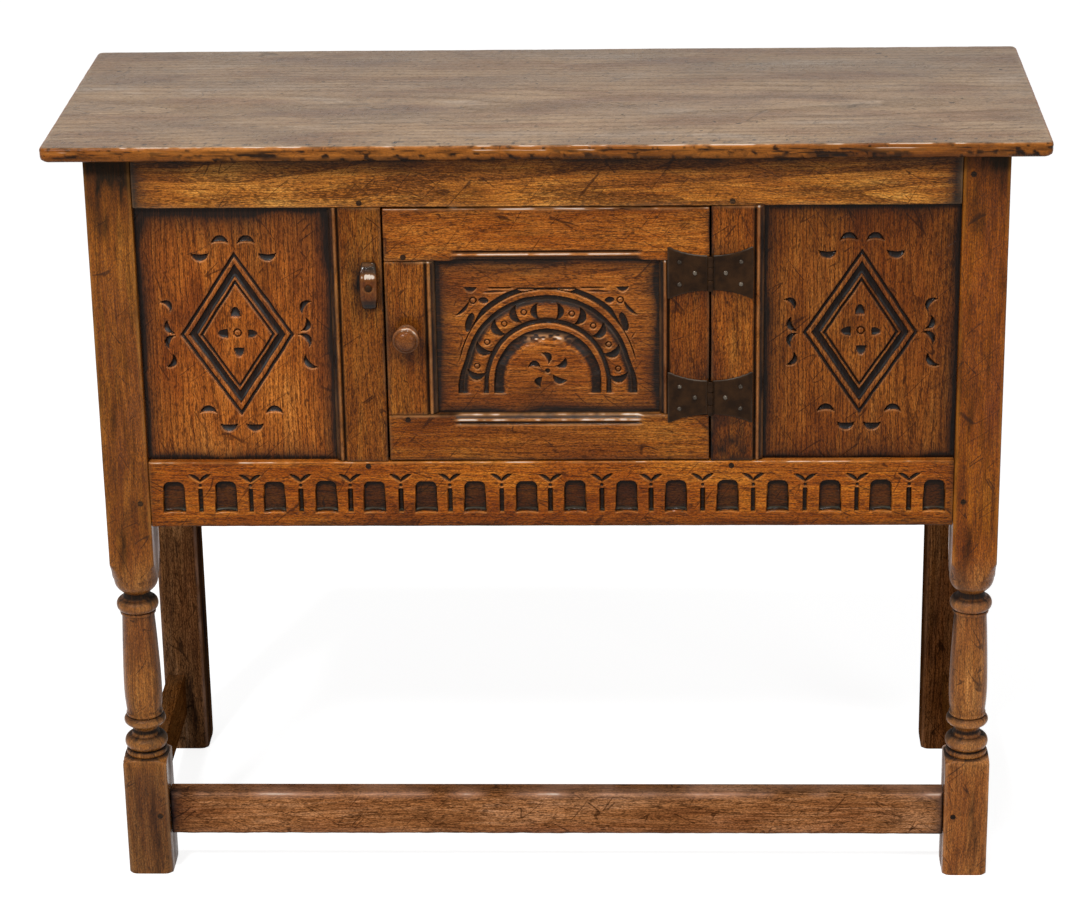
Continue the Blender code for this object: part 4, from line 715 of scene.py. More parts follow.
def oak(name, colours, rough, pores=1.0, rings=0.3, figure=0.2, specular=0.08, dents=0.4, smudges=0.45,
        scratch=0.75, gritty=1.0, shares=(0.42, 0.34, 0.24), bumpy=0.5, cluster=0.08, grimy=-0.08,
        carried=False):
    """Old oak in three colours, dark to light; shares mix fibre, blotches and streaks.

    A carried CAD node has no grain of its own, so its place in space stands in for it.
    """
    g = Graph(bpy.data.materials.new(name))
    dark, middle, light = colours
    grain = g.position() if carried else g.read("grain")["Vector"]
    bend = g.vector("SUBTRACT", g.noise(grain, 0.004, 0.022, output="Color"), (0.5, 0.5, 0.5))
    bent = g.vector("ADD", g.vector("MULTIPLY", bend, (0, 16, 16)), grain)
    reach = g.add("ShaderNodeVectorMath", {0: g.vector("MULTIPLY", bent, (0, 1, 1))}, operation="LENGTH")
    ring = g.math("FRACT", g.times(reach.outputs["Value"], rings))
    early = g.math("SUBTRACT", 1.0, g.span(ring, 0.0, 0.55))
    fibre = g.noise(bent, 0.012, 0.75, 3.0, 0.6)
    dash = g.noise(bent, 0.15, 1.0, 1.0)
    vessel = g.noise(bent, 0.020, 1.1, 1.0)
    streak = g.noise(bent, 0.010, 0.14, 3.0, 0.6)
    grit = g.noise(grain, 0.40, 0.95, 2.0, 0.6)
    blotch = g.noise(grain, 0.007, 0.014, 3.0, 0.55)
    smudge = g.noise(grain, 0.014, 0.034, 4.0, 0.6)
    patina = g.noise(grain, 0.006, 0.020)
    speck = g.noise(grain, 0.10, 0.14, 1.0)
    dashes = g.span(g.plus(dash, g.times(early, cluster)), 0.585, 0.645)

    def scratches(turn):
        turned = g.add("ShaderNodeMapping", {"Vector": grain, "Rotation": (0, 0, turn)}).outputs[0]
        line = g.math("ABSOLUTE", g.math("SUBTRACT", g.noise(turned, 0.007, 0.060, 0.0), 0.5))
        broken = g.span(g.noise(turned, 0.030, 0.050, 1.0), 0.54, 0.59)
        return g.times(g.span(line, 0.003, 0.014, 1.0, 0.0), broken)

    line = g.math("MAXIMUM", scratches(0.5), scratches(-0.9))
    mix = g.plus(g.times(fibre, shares[0]), g.times(blotch, shares[1]))
    mix = g.plus(mix, g.times(streak, shares[2]))
    colour = g.ramp(mix, [(0.38, dark), (0.50, middle), (0.61, light)])
    deep = (*(c * 0.22 for c in dark), 1)
    layers = [
        (g.span(patina, 0.34, 0.56, 0.75, 0.0), DARK_PATINA, "MULTIPLY"),
        (g.span(patina, 0.56, 0.72, 0.0, 0.8), PALE_PATINA, "MULTIPLY"),
        (g.times(early, figure), (*dark, 1), "MIX"),
        (g.times(g.span(smudge, 0.54, 0.72), smudges), deep, "MIX"),
        (g.times(g.span(vessel, 0.55, 0.62), 0.45 * pores), deep, "MIX"),
        (g.times(dashes, 0.70 * pores), deep, "MIX"),
        (g.times(line, scratch), deep, "MIX"),
        (1.0, g.span(grit, 0.36, 0.64, 1 - 0.36 * gritty, 1 + 0.32 * gritty), "MULTIPLY"),
        (g.times(g.span(speck, 0.735, 0.77), dents), deep, "MIX"),
    ]
    dull = g.times(dashes, 0.10)
    if not carried:
        dirt_and_shade, wear_and_highlight = g.read("dirt_and_shade")["Fac"], g.read("wear_and_highlight")["Fac"]
        broken = g.times(dirt_and_shade, g.span(fibre, 0.30, 0.60, 0.86, 1.05))
        pale = (*(0.9 * c + more for c, more in zip(light, WORN_PALER)), 1)
        # Dirt with painted shade, a painted grey sheen, worn colour that also paints highlights, the tone,
        # and painted glints
        layers += [
            (g.math("MINIMUM", broken, 0.98), DIRT_AND_SHADE_COLOUR, "MIX"),
            (g.times(g.read("painted_sheen")["Fac"], 0.85), PAINTED_SHEEN_COLOUR, "MIX"),
            (g.times(wear_and_highlight, 0.8), pale, "MIX"),
            (1.0, g.read("tone_and_light")["Color"], "MULTIPLY"),
            (g.times(g.span(wear_and_highlight, 0.62, 1.0), 0.8), PAINTED_GLINT_COLOUR, "MIX"),
        ]
        dull = g.plus(g.plus(dull, g.times(wear_and_highlight, -0.08)), g.times(dirt_and_shade, grimy))
    for share, tint, kind in layers:
        colour = g.blend(share, colour, tint, kind)
    level = g.span(blotch, 0.3, 0.7, rough - 0.04, rough + 0.06)
    g.shade(Base_Color=colour, Roughness=g.plus(level, dull), Specular_IOR_Level=specular)
    height = g.plus(g.times(fibre, 0.5), g.times(line, -0.6))
    g.bump(g.plus(height, g.times(dashes, -0.6)), bumpy, 0.0006)
    return g.owner


def iron(name, dark, light, rough, metallic):
    """Hammered iron, browner in its hollows, and bright where it is rubbed and where highlights are painted.
    """
    g = Graph(bpy.data.materials.new(name))
    place = g.position()
    hammer = g.noise(place, 0.10, 0.10)
    grit = g.noise(place, 0.8, 0.8, 3.0, 0.6)
    colour = g.ramp(g.plus(g.times(hammer, 0.75), g.times(grit, 0.25)), [(0.36, dark), (0.66, light)])
    colour = g.blend(g.times(g.read("wear_and_highlight")["Fac"], 0.5), colour, RUBBED_AND_GLINT_IRON)
    g.shade(Base_Color=colour, Roughness=g.span(grit, 0.3, 0.7, rough - 0.06, rough + 0.08),
            Metallic=metallic, Specular_IOR_Level=0.07)
    g.bump(g.plus(hammer, g.times(grit, 0.15)), 0.35, 0.0008)
    return g.owner


# A finish is a slot and a material
FRAME_COLOURS = ((0.165, 0.037, 0.0040), (0.330, 0.086, 0.0085), (0.48, 0.160, 0.022))
FRAME_OAK = ("oak_frame", oak("oak_frame_old", FRAME_COLOURS, 0.19))
RAIL_OAK = ("oak_frame", oak("oak_rail_old", FRAME_COLOURS, 0.19, rings=0.13, figure=0.55, cluster=0.16))
PANEL_OAK = ("oak_panel", oak(
    "oak_panel_old", ((0.140, 0.032, 0.0040), (0.275, 0.074, 0.0085), (0.40, 0.130, 0.020)), 0.21,
    rings=0.24, figure=0.42, gritty=0.8, cluster=0.14))
TURNED_OAK = ("oak_turned", oak(
    "oak_turned_old", ((0.119, 0.033, 0.0055), (0.247, 0.079, 0.0130), (0.38, 0.147, 0.034)), 0.17,
    pores=0.65, specular=0.15, bumpy=0.25, grimy=0.6))
# The top's colours are paled and greyed by a painted sheen of the bright room over its own colour
TOP_OAK = ("oak_top", oak(
    "oak_top_old_with_sheen", ((0.165, 0.097, 0.047), (0.275, 0.173, 0.096), (0.36, 0.240, 0.143)), 0.32, pores=0.30,
    rings=0.11, figure=0.5, specular=0.10, dents=1.0, smudges=0.22, scratch=0.4, gritty=0.45,
    shares=(0.46, 0.42, 0.12)))
LOW_OAK = ("oak_frame", oak(
    "oak_low_old", ((0.14, 0.042, 0.0085), (0.285, 0.098, 0.020), (0.43, 0.175, 0.048)), 0.32, specular=0.0))
FRUIT = ("fruitwood", oak(
    "fruitwood_old", ((0.115, 0.030, 0.004), (0.25, 0.072, 0.010), (0.38, 0.135, 0.026)), 0.16, pores=0.4,
    specular=0.13, gritty=0.6, bumpy=0.2))
IRON = ("dark_iron", iron("dark_iron_old", (0.014, 0.0060, 0.0022), (0.036, 0.0155, 0.0055), 0.40, 0.0))
# Nail heads are paler than the leaves: worn iron, and partly a painted glint
NAIL_IRON = ("dark_iron", iron("nail_iron_worn_glinting", (0.030, 0.022, 0.016), (0.16, 0.13, 0.10), 0.26, 0.5))
# Materials of CAD nodes that stay
INSIDE_OAK = oak("oak_inside_old", ((0.08, 0.034, 0.012), (0.16, 0.070, 0.026), (0.24, 0.115, 0.048)), 0.6,
                 carried=True)
PEG_OAK = oak("oak_peg_old", ((0.012, 0.006, 0.003), (0.030, 0.014, 0.006), (0.07, 0.034, 0.014)), 0.4,
              carried=True)


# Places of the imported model
def trimmed(node, **ends):
    """The box of a CAD node without its tenons: named ends replace its own."""
    low, high = (list(corner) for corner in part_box(node))
    for key, value in ends.items():
        (low if key[1] == "0" else high)["xyz".index(key[0])] = value
    return low, high


JOINT = 0.0003
leg_low, leg_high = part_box("front_left_leg")
INNER = -leg_high.x - JOINT
NEAR = leg_high.y + JOINT
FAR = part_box("back_right_leg")[0].y - JOINT
LEG_TOP = leg_high.z
HALF_LEG = (leg_high.x - leg_low.x) / 2
RAIL_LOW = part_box("front_bottom_rail")[1].z
RAIL_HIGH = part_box("front_top_rail")[0].z
button_low, button_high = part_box("turn_button")
BUTTON = (button_low + button_high) / 2
BUTTON_HALF = (button_high.z - button_low.z) / 2
LOZENGES = {"left": (-337.3, 654.5), "right": (337.6, 654.5)}

# Boards of the case
TOP_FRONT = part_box("top_board")[0].y


def top_marks(u, v):
    """Small dark knocks, most of them along the front, a broken dark line behind the front arris, and the top
    darker towards the back.
    """
    inside = v - TOP_FRONT
    front = np.exp(-inside / 0.022)
    back = 0.12 * smooth(0.12, 0.41, inside)
    flecks = 3.6 * (0.20 + front) * flecked(u * 190, v * 380, 12, 0.28)
    broken = np.clip(2.4 * rough_noise(u * 75, 0 * v, 14) + 0.1, 0, 1)
    return back + flecks + 0.9 * bell(inside, 0.0022, 0.0016) * broken


# The sides are toned deeper, without the painted sheen of the face; shine paints a broken highlight along the
# front arris
board("top_board", "top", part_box("top_board"), TOP_OAK, seed=11, step=(0.0016, 0.004), edge=0.0034,
      corner=0.008, back_edge=0.0065, rings=6, wave=0.0005, chips=0.0009, edge_dirt_and_shade=(0.004, 0.12),
      rim_tone=(1.06, 0.54, 0.14), stain_and_shade=top_marks, tone_and_light=1.06, shine=1.0, knocks=1.5, uneven=0.3)

# The rail's upper edge, under the top's overhang, is painted dark: painted shadow and dirt
low, high = trimmed("front_top_rail", x0=-INNER, x1=INNER)
board("front_top_rail", "front", (low, high), RAIL_OAK, seed=21, step=0.005, chips=0.0008,
      edge_dirt_and_shade=(0.0015, 0.5), tone_and_light=(1.56, 1.99, 2.55),
      stain_and_shade=border(-INNER, INNER, low[2] - AWAY, LEG_TOP, 20, near=(1.2, 0.011), wide=(0.4, 0.020)))

# shine paints a broken highlight along the frieze rail's upper arris
low, high = trimmed("front_bottom_rail", x0=-INNER, x1=INNER)
board("front_bottom_rail", "front", (low, high), FRAME_OAK, seed=22, step=0.0009, carve=frieze_cut, soil_and_shade=0.92,
      edge=0.0013, chips=0.0012, edge_dirt_and_shade=(0.004, 0.25), tone_and_light=(1.15, 1.06, 0.72), shine=0.7,
      stain_and_shade=border(-INNER, INNER, low[2], high[2] + AWAY, 41, near=(0.5, 0.006), wide=(0.2, 0.02)))

for side, sign in (("left", -1), ("right", 1)):
    name = f"{side}_muntin"
    low, high = trimmed(name, z0=RAIL_LOW + JOINT, z1=RAIL_HIGH - JOINT)
    edge = low[0] if sign < 0 else high[0]
    looks = moulded(lambda u, v: (u - edge) * -sign)
    if sign < 0:
        # Dirt and painted shadow round the turn button
        looks = darkened_round(looks, BUTTON.x - 0.006, BUTTON.z, 0.016, 0.030, 0.9)
    else:
        looks = by_hinges(darkened_round(looks, low[0] + 0.02, low[2] + 0.02, 0.040, 0.030, 0.65))
    board(name, "front", (low, high), FRAME_OAK, seed=23 + sign, grain="v", step=0.0010, chips=0.0006,
          tone_and_light=(0.75, 0.80, 0.82) if sign < 0 else 0.88, **looks)

    # The panels' edges hold dirt and painted shade, with a painted shadow under the top rail, deepest on the
    # left panel
    name = f"{side}_front_panel"
    inside = sorted((INNER * sign, edge))
    board(name, "front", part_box(name), PANEL_OAK, seed=31 + sign, grain="v", step=0.0009, edge=0.0008,
          carve=lozenge_cut(LOZENGES[side]), soil_and_shade=1.05, painted_sheen_share=0.7, tone_and_light=1.5 if sign < 0 else 0.95,
          stain_and_shade=border(*inside, RAIL_LOW, RAIL_HIGH, 33, wide=(0.42, 0.021),
                       top_shadow=(0.62, 0.05) if sign < 0 else (0.15, 0.05)))

    name = f"{side}_side_stretcher"
    board(name, side, trimmed(name, y0=NEAR, y1=FAR), LOW_OAK, seed=41 + sign, edge=0.0028, chips=0.0012,
          tone_and_light=0.62, knocks=0.1)
    for part, seed, tone_and_light in (("top", 54, 1.0), ("bottom", 51, 0.9)):
        name = f"{side}_side_{part}_rail"
        box = trimmed(name, y0=NEAR, y1=FAR)
        board(name, side, box, FRAME_OAK, seed=seed + sign, chips=0.0008, tone_and_light=tone_and_light)
    name = f"{side}_side_panel"
    ends = sorted((NEAR * sign, FAR * sign))
    board(name, side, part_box(name), PANEL_OAK, seed=61 + sign, grain="v", step=0.004,
          stain_and_shade=border(*ends, RAIL_LOW, RAIL_HIGH, 63))

for part, seed, tone_and_light in (("top", 74, 0.9), ("bottom", 71, 0.8)):
    name = f"back_{part}_rail"
    board(name, "back", trimmed(name, x0=-INNER, x1=INNER), FRAME_OAK, seed=seed, tone_and_light=tone_and_light)
board("back_panel", "back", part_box("back_panel"), PANEL_OAK, seed=76, step=0.005, tone_and_light=0.9,
      stain_and_shade=border(-INNER, INNER, RAIL_LOW, RAIL_HIGH, 77))

low, high = trimmed("front_stretcher", x0=-INNER, x1=INNER)
board("front_stretcher", "front", (low, high), LOW_OAK, seed=81, step=0.005, edge=0.0030, chips=0.0016,
      wave=0.0005, edge_dirt_and_shade=(0.005, 0.3), tone_and_light=(1.38, 1.56, 2.5), rim_tone=0.6, knocks=0.2,
      stain_and_shade=border(-INNER, INNER, low[2] - AWAY, high[2] + AWAY, 82, near=(0.6, 0.008)))


# Legs: profiles in millimetres, wider than the post where it stays square
def bulge(low, high, root, peak, count):
    """A half round ring of a turning."""
    share = np.linspace(0, math.pi, count)
    return [(root + (peak - root) * math.sin(s), low + (high - low) * (1 - math.cos(s)) / 2) for s in share]


FOOT = [(30.4, 0), (31.8, 0.5), (32.8, 1.5), (36, 4)]
LEG_HEAD = [(36, 859.7)]
FRONT_LEG = [
    *FOOT, *((45, z) for z in np.linspace(8, 134.5, 13)),
    (37.5, 138), (35, 140), (32, 142.2), (28.8, 143.8), (26, 144.7), (23.6, 145.1), (22.0, 145.2),
    (21.2, 145.8), (22.4, 146.4), (22.9, 147.1), (23.0, 148.2), (23.0, 150.2), (22.6, 151.4),
    (21.4, 152.2), (18.2, 152.6), *bulge(152.8, 169.2, 17.2, 24.2, 20),
    (16.4, 169.2), (15.2, 171), (14.6, 173.5), (14.6, 176), (15.2, 179), (16.4, 181), (17.6, 182.2),
    *bulge(182.4, 193.8, 18.0, 23.6, 14),
    (18.4, 194.2), (20.0, 194.6), (20.6, 195.4), (20.6, 197.2), (19.9, 198.2), (19.6, 199.2),
    (20.6, 208), (21.2, 216), (21.5, 226), (21.4, 238), (21.0, 254), (20.4, 270), (19.7, 288),
    (18.9, 304), (18.3, 314), (18.2, 319.4), (18.9, 319.9),
    (19.9, 320.4), (20.1, 321.4), (20.0, 323.0), (19.4, 323.7), (18.0, 324.0),
    *bulge(324.2, 338.4, 18.2, 23.5, 16),
    (16.6, 339.2), (15.2, 341), (14.8, 343.5), (15.0, 346), (16.2, 347.6), (18.6, 349.4), (21.0, 351.8),
    (23.0, 354.8), (24.2, 358), (24.9, 361.4), (25.0, 364.2), (25.2, 365.6), (26.5, 366.0),
    (27.2, 368.4), (28.2, 372), (29.7, 377.4), (31.6, 382), (34.0, 386), (37, 389.6), (42, 393),
    *((46, z) for z in np.linspace(396, 859.2, 60)), *LEG_HEAD,
]
BACK_LEG = [*FOOT, *((46, z) for z in np.linspace(8, 859.2, 70)), *LEG_HEAD]


def leg_stain_and_shade(shade, inner):
    """Painted shade darkens the legs under the top and on the side that faces inward; patches and streaks of
    dirt lie all down them.
    """
    def stain_and_shade(turns, heights):
        patch = flecked(heights * 14, turns * 1.4 + 0 * heights, 95, 0)
        streak = flecked(heights * 22, turns * 9 + 0 * heights, 96, 0.12)
        under = np.exp(-(LEG_TOP - heights) / 0.055)
        head = shade * np.exp(-(LEG_TOP - heights) / 0.022)
        dark = head + shade * under * (0.5 + 1.6 * patch + 1.2 * streak) + 0.5 * patch + 0.9 * streak
        return dark + abs(inner) * np.clip(np.cos(turns) * np.sign(inner), 0, 1) ** 6
    return stain_and_shade


# Tones by height, tints of foot, turning and post, the painted shade under the top and the painted shade on
# the inner side
TONE_HEIGHTS = (0, 0.120, 0.150, 0.340, 0.400, 0.560, 0.860)
TINT_HEIGHTS = (0.125, 0.140, 0.370, 0.400)
LEG_LOOKS = {
    "front_left_leg": ((0.72, 0.78, 1.08, 1.10, 0.92, 0.92, 1.00),
                       ((1.10, 1.22, 1.40), (1.18, 1.24, 1.15), (1.06, 0.92, 0.40)), 1.1, 0.5),
    "front_right_leg": ((1.38, 1.34, 1.40, 1.36, 1.04, 0.98, 0.98),
                        ((1.12, 1.08, 1.05), (1.22, 1.30, 1.40), (1.10, 0.82, 0.15)), 0.6, -0.6),
    "back_left_leg": ((0.72, 0.72, 0.75, 0.84, 0.84, 0.84, 0.84), ((1.0, 1.26, 2.2),) * 3, 0.6, 0.7),
    "back_right_leg": ((0.68, 0.68, 0.71, 0.77, 0.77, 0.77, 0.77), ((1.0, 1.02, 1.3),) * 3, 0.6, -0.3),
}
# Angles round a leg, close together at the arrises
CORNER_TURN = np.radians([38.5, 40.5, 42.5, 44, 45, 46, 47.5, 49.5, 51.5])
FACE_TURN = np.radians(np.linspace(-36, 36, 13))
QUARTER = np.concatenate([CORNER_TURN, FACE_TURN])
TURNS = np.sort(np.concatenate([QUARTER + k * math.pi / 2 for k in range(4)]))
for k, (node, (tones, tints, shade, inner)) in enumerate(LEG_LOOKS.items()):
    low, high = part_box(node)
    place = ((low.x + high.x) / 2, (low.y + high.y) / 2, 0)
    profile, finish = (FRONT_LEG, TURNED_OAK) if node.startswith("front") else (BACK_LEG, LOW_OAK)
    profile = np.array(profile) * MM
    foot, turning, post = tints
    tint = [np.interp(profile[:, 1], TINT_HEIGHTS, column) for column in zip(foot, turning, turning, post)]
    tone_and_light = (np.interp(profile[:, 1], TONE_HEIGHTS, tones) * tint).T[:, None, :]
    spun(node, profile, TURNS, place, "z", finish, seed=91 + k, nodes=[node], half=HALF_LEG, tone_and_light=tone_and_light,
         stain_and_shade=leg_stain_and_shade(shade, inner))

# Door
MOULD_REACH = 0.101
low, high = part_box("door_knob")
KNOB = ((low.x + high.x) / 2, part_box("door_left_stile")[0].y, (low.z + high.z) / 2)
top_low, top_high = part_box("door_top_rail")
base_low, base_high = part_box("door_bottom_rail")
# The door rails' beads are worn and carry painted highlights; shine paints a broken highlight along the top
# rail's upper arris
board("door_top_rail", "front", (top_low, top_high), FRAME_OAK, seed=101, body="door", step=0.0010,
      chips=0.0008, tone_and_light=1.02, shine=1.0, **moulded(lambda u, v: v - top_low.z, RUBBED_AND_GLINT_OVER, MOULD_REACH))
board("door_bottom_rail", "front", (base_low, base_high), FRAME_OAK, seed=102, body="door", step=0.0010,
      chips=0.0008, tone_and_light=(0.92, 0.97, 0.95),
      **moulded(lambda u, v: base_high.z - v, RUBBED_AND_GLINT_UNDER, MOULD_REACH))
stile_edges = []
for side, sign in (("left", -1), ("right", 1)):
    name = f"door_{side}_stile"
    low, high = trimmed(name, z0=base_high.z + JOINT, z1=top_low.z - JOINT)
    edge = high[0] if sign < 0 else low[0]
    stile_edges.append(edge)
    looks = moulded(lambda u, v: (u - edge) * sign)
    if sign < 0:
        # A painted shadow round the knob
        looks = darkened_round(looks, KNOB[0] - 0.001, KNOB[2] - 0.006, 0.024, 0.026, 0.75)
    else:
        looks = by_hinges(looks)
    board(name, "front", (low, high), FRAME_OAK, seed=103 + sign, body="door", grain="v", step=0.0009,
          chips=0.0006, tone_and_light=(0.94, 1.04, 1.1) if sign < 0 else 0.76, **looks)
# The carving's floors hold dirt, painted shade and a little painted sheen; lunette_glint paints highlights at
# the head of the groove
board("door_panel", "front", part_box("door_panel"), PANEL_OAK, seed=110, body="door", step=0.00075,
      edge=0.0008, carve=lunette_cut, soil_and_shade=1.0, painted_sheen_share=0.25, tone_and_light=(1.54, 1.62, 1.6), rubbed_and_glint=lunette_glint,
      stain_and_shade=border(*stile_edges, base_high.z, top_low.z, 111))

# Knob: its profile in millimetres out from the stile, and its tones by the same heights
KNOB_PROFILE = np.array([
    (5.0, -15.8), (5.0, 0.2), (11.2, 0.3), (11.9, 0.9), (12.0, 2.0), (11.7, 3.2), (10.6, 4.0), (9.4, 4.4),
    (8.2, 5.2), (7.3, 6.4), (6.9, 8.0), (7.0, 9.6), (7.8, 11.0), (9.4, 12.0), (11.4, 12.9), (13.2, 14.4),
    (14.2, 16.4), (14.45, 18.4), (14.3, 20.2), (13.7, 21.6), (12.8, 22.4), (12.0, 22.6), (11.5, 23.1),
    (10.9, 24.2), (9.6, 25.6), (7.6, 26.8), (5.0, 27.5), (2.4, 27.85), (0.4, 27.9),
])
# The tones paint the rim lighter and the neck and groove darker: painted light and shade
KNOB_HEIGHTS = (4, 9, 12.9, 17, 20.5, 22.2, 23.2, 24.5, 26.5)
KNOB_TONE_AND_LIGHT = (0.65, 0.35, 0.80, 1.25, 1.35, 0.55, 0.60, 0.95, 0.85)
KNOB_TINT = np.array((1.0, 1.02, 1.15))
AROUND = np.linspace(0, math.tau, 48, endpoint=False)


def knob_glint(turns, heights):
    """Painted highlight on the upper edge of the knob's face, and a fainter one round the rest of that edge.
    """
    edge = bell(heights / MM, 21.4, 1.5)
    upper = bell(np.degrees(turns), 70, 38)
    patch = 0.8 + 0.5 * noise(turns * 5, heights * 500, 49)
    return edge * patch * (1.1 * upper + 0.25)


def knob_stain(turns, heights):
    return 0.7 * flecked(turns * 1.6, heights * 200, 50, 0)


knob_tone_and_light = np.interp(KNOB_PROFILE[:, 1], KNOB_HEIGHTS, KNOB_TONE_AND_LIGHT)[:, None, None] * KNOB_TINT
spun("door_knob", KNOB_PROFILE * MM, AROUND, KNOB, "-y", FRUIT, seed=121, body="door", nodes=["door_knob"],
     tone_and_light=knob_tone_and_light, wobble=0.012, stain_and_shade=knob_stain, rubbed_and_glint=knob_glint)


# Turn button
def button_share(v):
    """Height over the button's middle, as a share of its half length."""
    return (v - BUTTON.z) / BUTTON_HALF


def from_screw(u, v):
    return np.hypot(u - BUTTON.x, v - BUTTON.z)


# Both ends of the button are darker
def darker_button_ends(u, v):
    return 0.6 * smooth(0.72, 0.82, np.abs(button_share(v)))


def button_glint(u, v):
    """Painted highlights on the upper shoulder and on the lower rim of the screw hole."""
    shoulder = bell(button_share(v), 0.48, 0.11)
    streaks = 1.0 + 0.6 * noise(u * 900, v * 120, 48)
    ring = 0.6 * bell(from_screw(u, v), 0.0054, 0.0008) * (v < BUTTON.z + 0.001)
    return ring + 1.5 * shoulder * streaks * np.exp(-((u - BUTTON.x) / 0.0078) ** 6)


def button_cut(u, v):
    """Both ends slope away from the middle, and the screw is sunk."""
    slope = 0.30 * BUTTON_HALF * (np.clip(np.abs(button_share(v)) - 0.25, 0, 1) / 0.75) ** 1.8
    return slope + 0.0006 * np.clip((0.0046 - from_screw(u, v)) / 0.0006, 0, 1)


def button_warp(u, v):
    """The button narrows toward its ends."""
    return BUTTON.x + (u - BUTTON.x) * (1 - 0.18 * button_share(v) ** 2), v


board("turn_button", "front", (button_low, button_high), FRUIT, seed=125, body="button", grain="v",
      step=0.0009, edge=0.0022, corner=0.003, carve=button_cut, soil_and_shade=0.7, warp=button_warp, wave=0.0003,
      chips=0.0008, edge_dirt_and_shade=(0.002, 0.2), tone_and_light=(0.52, 0.45, 0.32), stain_and_shade=darker_button_ends, rubbed_and_glint=button_glint)

# Hinges: a leaf reaches out from the pin, and its half height grows from the waist to the end
LEAF_REACH = 0.046
LEAF_END = 0.030
LEAF_WAIST = 0.0195
LEAF_THICK = 0.0018
LEAF_FROM_PIN = 0.0026
KNUCKLE_HALF = 0.007
KNUCKLE_GAP = KNUCKLE_HALF + JOINT
KNUCKLES = {
    "door": [(-KNUCKLE_HALF, KNUCKLE_HALF)],
    "frame": [(-LEAF_WAIST, -KNUCKLE_GAP), (KNUCKLE_GAP, LEAF_WAIST)],
}
# Radius and distance from its end of a knuckle, and a nail head's profile, in millimetres
KNUCKLE_END = ((1.9, 0), (2.9, 0), (3.35, 0.4), (3.5, 1.0))
NAIL_HEAD = np.array([(2.5, 0), (2.5, 0.4), (2.3, 0.9), (1.7, 1.35), (0.9, 1.6), (0.2, 1.65)])
NAIL_PLACES = ((0.0330, 0.0125), (0.0330, -0.0125), (0.0165, 0))
NAIL_SUNK = 0.0013
HINGE_FACE = top_low.y - JOINT


def flared(pin, sign):
    """Draws a leaf's outline in toward the pin, a little unevenly."""
    def warp(u, v):
        share = np.clip((u - pin.x) * sign / LEAF_REACH, 0, 1)
        half = LEAF_WAIST + (LEAF_END - LEAF_WAIST) * share ** 2.2 + 0.0003 * np.sin(u * 900) * share
        return u, pin.z + (v - pin.z) / LEAF_END * half
    return warp


for side in ("upper", "lower"):
    pin_low, pin_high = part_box(f"{side}_hinge_pin")
    pin = (pin_low + pin_high) / 2
    for leaf, sign, body in (("frame", 1, "case"), ("door", -1, "door")):
        node = f"{side}_hinge_{leaf}_leaf"
        near_x, far_x = sorted((pin.x + sign * LEAF_FROM_PIN, pin.x + sign * LEAF_REACH))
        box = ((near_x, HINGE_FACE - LEAF_THICK, pin.z - LEAF_END), (far_x, HINGE_FACE, pin.z + LEAF_END))
        # shine paints a broken highlight along each leaf's upper edge
        board(node, "front", box, IRON, seed=131 + len(side) + sign, body=body, step=0.0014, edge=0.0007,
              corner=0.002, back_edge=0.0002, wave=0.0004, chips=0.0004, shine=0.7, warp=flared(pin, sign))
        for k, (start, end) in enumerate(KNUCKLES[leaf]):
            tube = [(r * MM, start + h * MM) for r, h in KNUCKLE_END]
            tube += [(r * MM, end - h * MM) for r, h in KNUCKLE_END[::-1]]
            spun(f"{node}_knuckle_{k}", tube, AROUND, pin, "z", IRON, seed=140 + k, body=body)
        for k, (out, up) in enumerate(NAIL_PLACES):
            place = (pin.x + sign * out, HINGE_FACE - NAIL_SUNK, pin.z + up)
            spun(f"{node}_nail_{k}", NAIL_HEAD * MM, AROUND[::4], place, "-y", NAIL_IRON, seed=150 + k,
                 body=body, wobble=0.12)

# CAD nodes that stay as they are
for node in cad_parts.values():
    if node.hide_render:
        continue
    material = PEG_OAK if "peg" in node.name else INSIDE_OAK
    if "pin" in node.name or "screw" in node.name:
        material = IRON[1]
    node.data.materials.clear()
    node.data.materials.append(material)

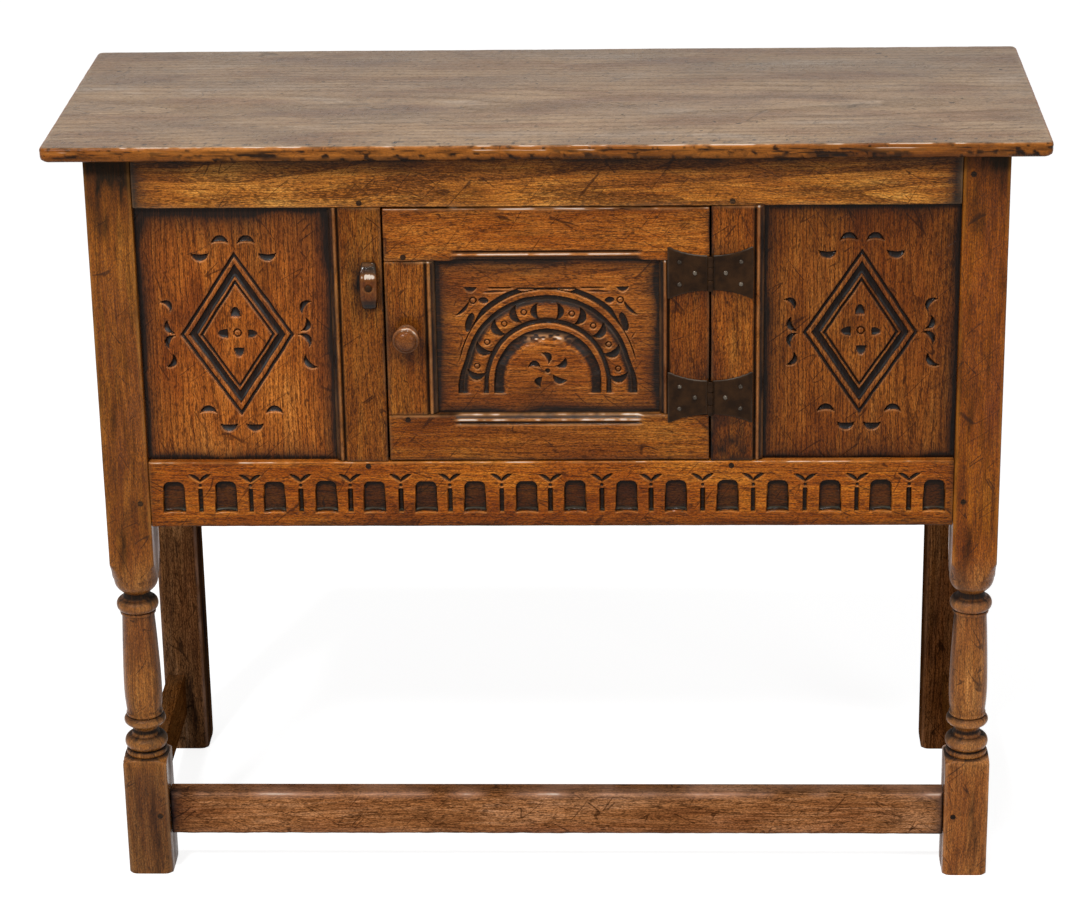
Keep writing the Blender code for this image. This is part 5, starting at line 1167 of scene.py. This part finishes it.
# Floor and backdrop
FLOOR_HALF = 30
FLOOR_GLOW = 0.84
FLOOR_GREYS = [(0.3, (0.50, 0.50, 0.50)), (0.7, (0.52, 0.52, 0.52))]
WHITE = (1, 1, 1, 1)
WORLD_LIGHT = 0.30
WORLD_SEEN = 1.0
pale = Graph(bpy.data.materials.new("pale_floor"))
cloud = pale.noise(pale.position(), 0.001, 0.001)
pale.shade(Base_Color=pale.ramp(cloud, FLOOR_GREYS), Roughness=0.9, Specular_IOR_Level=0.0,
           Emission_Color=WHITE, Emission_Strength=pale.times(pale.seen_white(), FLOOR_GLOW))
ground = bpy.data.meshes.new("floor")
corners = [(x * FLOOR_HALF, y * FLOOR_HALF, 0) for x, y in ((-1, -1), (1, -1), (1, 1), (-1, 1))]
ground.from_pydata(corners, [], [(0, 1, 2, 3)])
ground.materials.append(pale.owner)
floor = bpy.data.objects.new("floor", ground)
bpy.context.scene.collection.objects.link(floor)

bpy.context.scene.world = bpy.data.worlds.new("studio")
studio = Graph(bpy.context.scene.world, "Background")
studio.shade(Color=WHITE, Strength=studio.span(studio.seen_white(), 0.0, 1.0, WORLD_LIGHT, WORLD_SEEN))

# Lamps: name, place, what they face, width, height and watts
LAMPS = (
    ("key", (-1.2, -2.4, 2.7), (0, 0, 0.5), 0.5, 0.4, 64),
    ("overhead", (0.1, -1.0, 3.1), (0, -0.2, 0.5), 0.5, 0.16, 27),
    ("fill", (2.4, -2.4, 1.8), (0, 0, 0.5), 1.5, 1.5, 18),
)
for name, place, target, width, height, power in LAMPS:
    light = bpy.data.lights.new(name, "AREA")
    light.shape = "RECTANGLE"
    light.size = width
    light.size_y = height
    light.energy = power
    lamp = bpy.data.objects.new(name, light)
    lamp.location = place
    lamp.rotation_euler = (Vector(target) - Vector(place)).to_track_quat("-Z", "Y").to_euler()
    bpy.context.scene.collection.objects.link(lamp)

# The camera as it was fitted to the photo: place, then yaw, pitch and roll in degrees, and focal length
CAMERA_PLACE = (0.12404, -3.58741, 1.84047)
CAMERA_ANGLES = (-2.2528, 21.2468, -0.96726)
FOCAL_LENGTH = 111.545
SENSOR_WIDTH = 36
yaw, pitch, roll = (math.radians(angle) for angle in CAMERA_ANGLES)
turn = Matrix.Rotation(-yaw, 4, "Z") @ Matrix.Rotation(math.pi / 2 - pitch, 4, "X")
turn = turn @ Matrix.Rotation(roll, 4, "Z")
optics = bpy.data.cameras.new("camera")
optics.sensor_fit = "HORIZONTAL"
optics.sensor_width = SENSOR_WIDTH
optics.lens = FOCAL_LENGTH
camera = bpy.data.objects.new("camera", optics)
camera.matrix_world = Matrix.Translation(CAMERA_PLACE) @ turn
bpy.context.scene.collection.objects.link(camera)
bpy.context.scene.camera = camera
bpy.context.scene.view_settings.view_transform = "Standard"
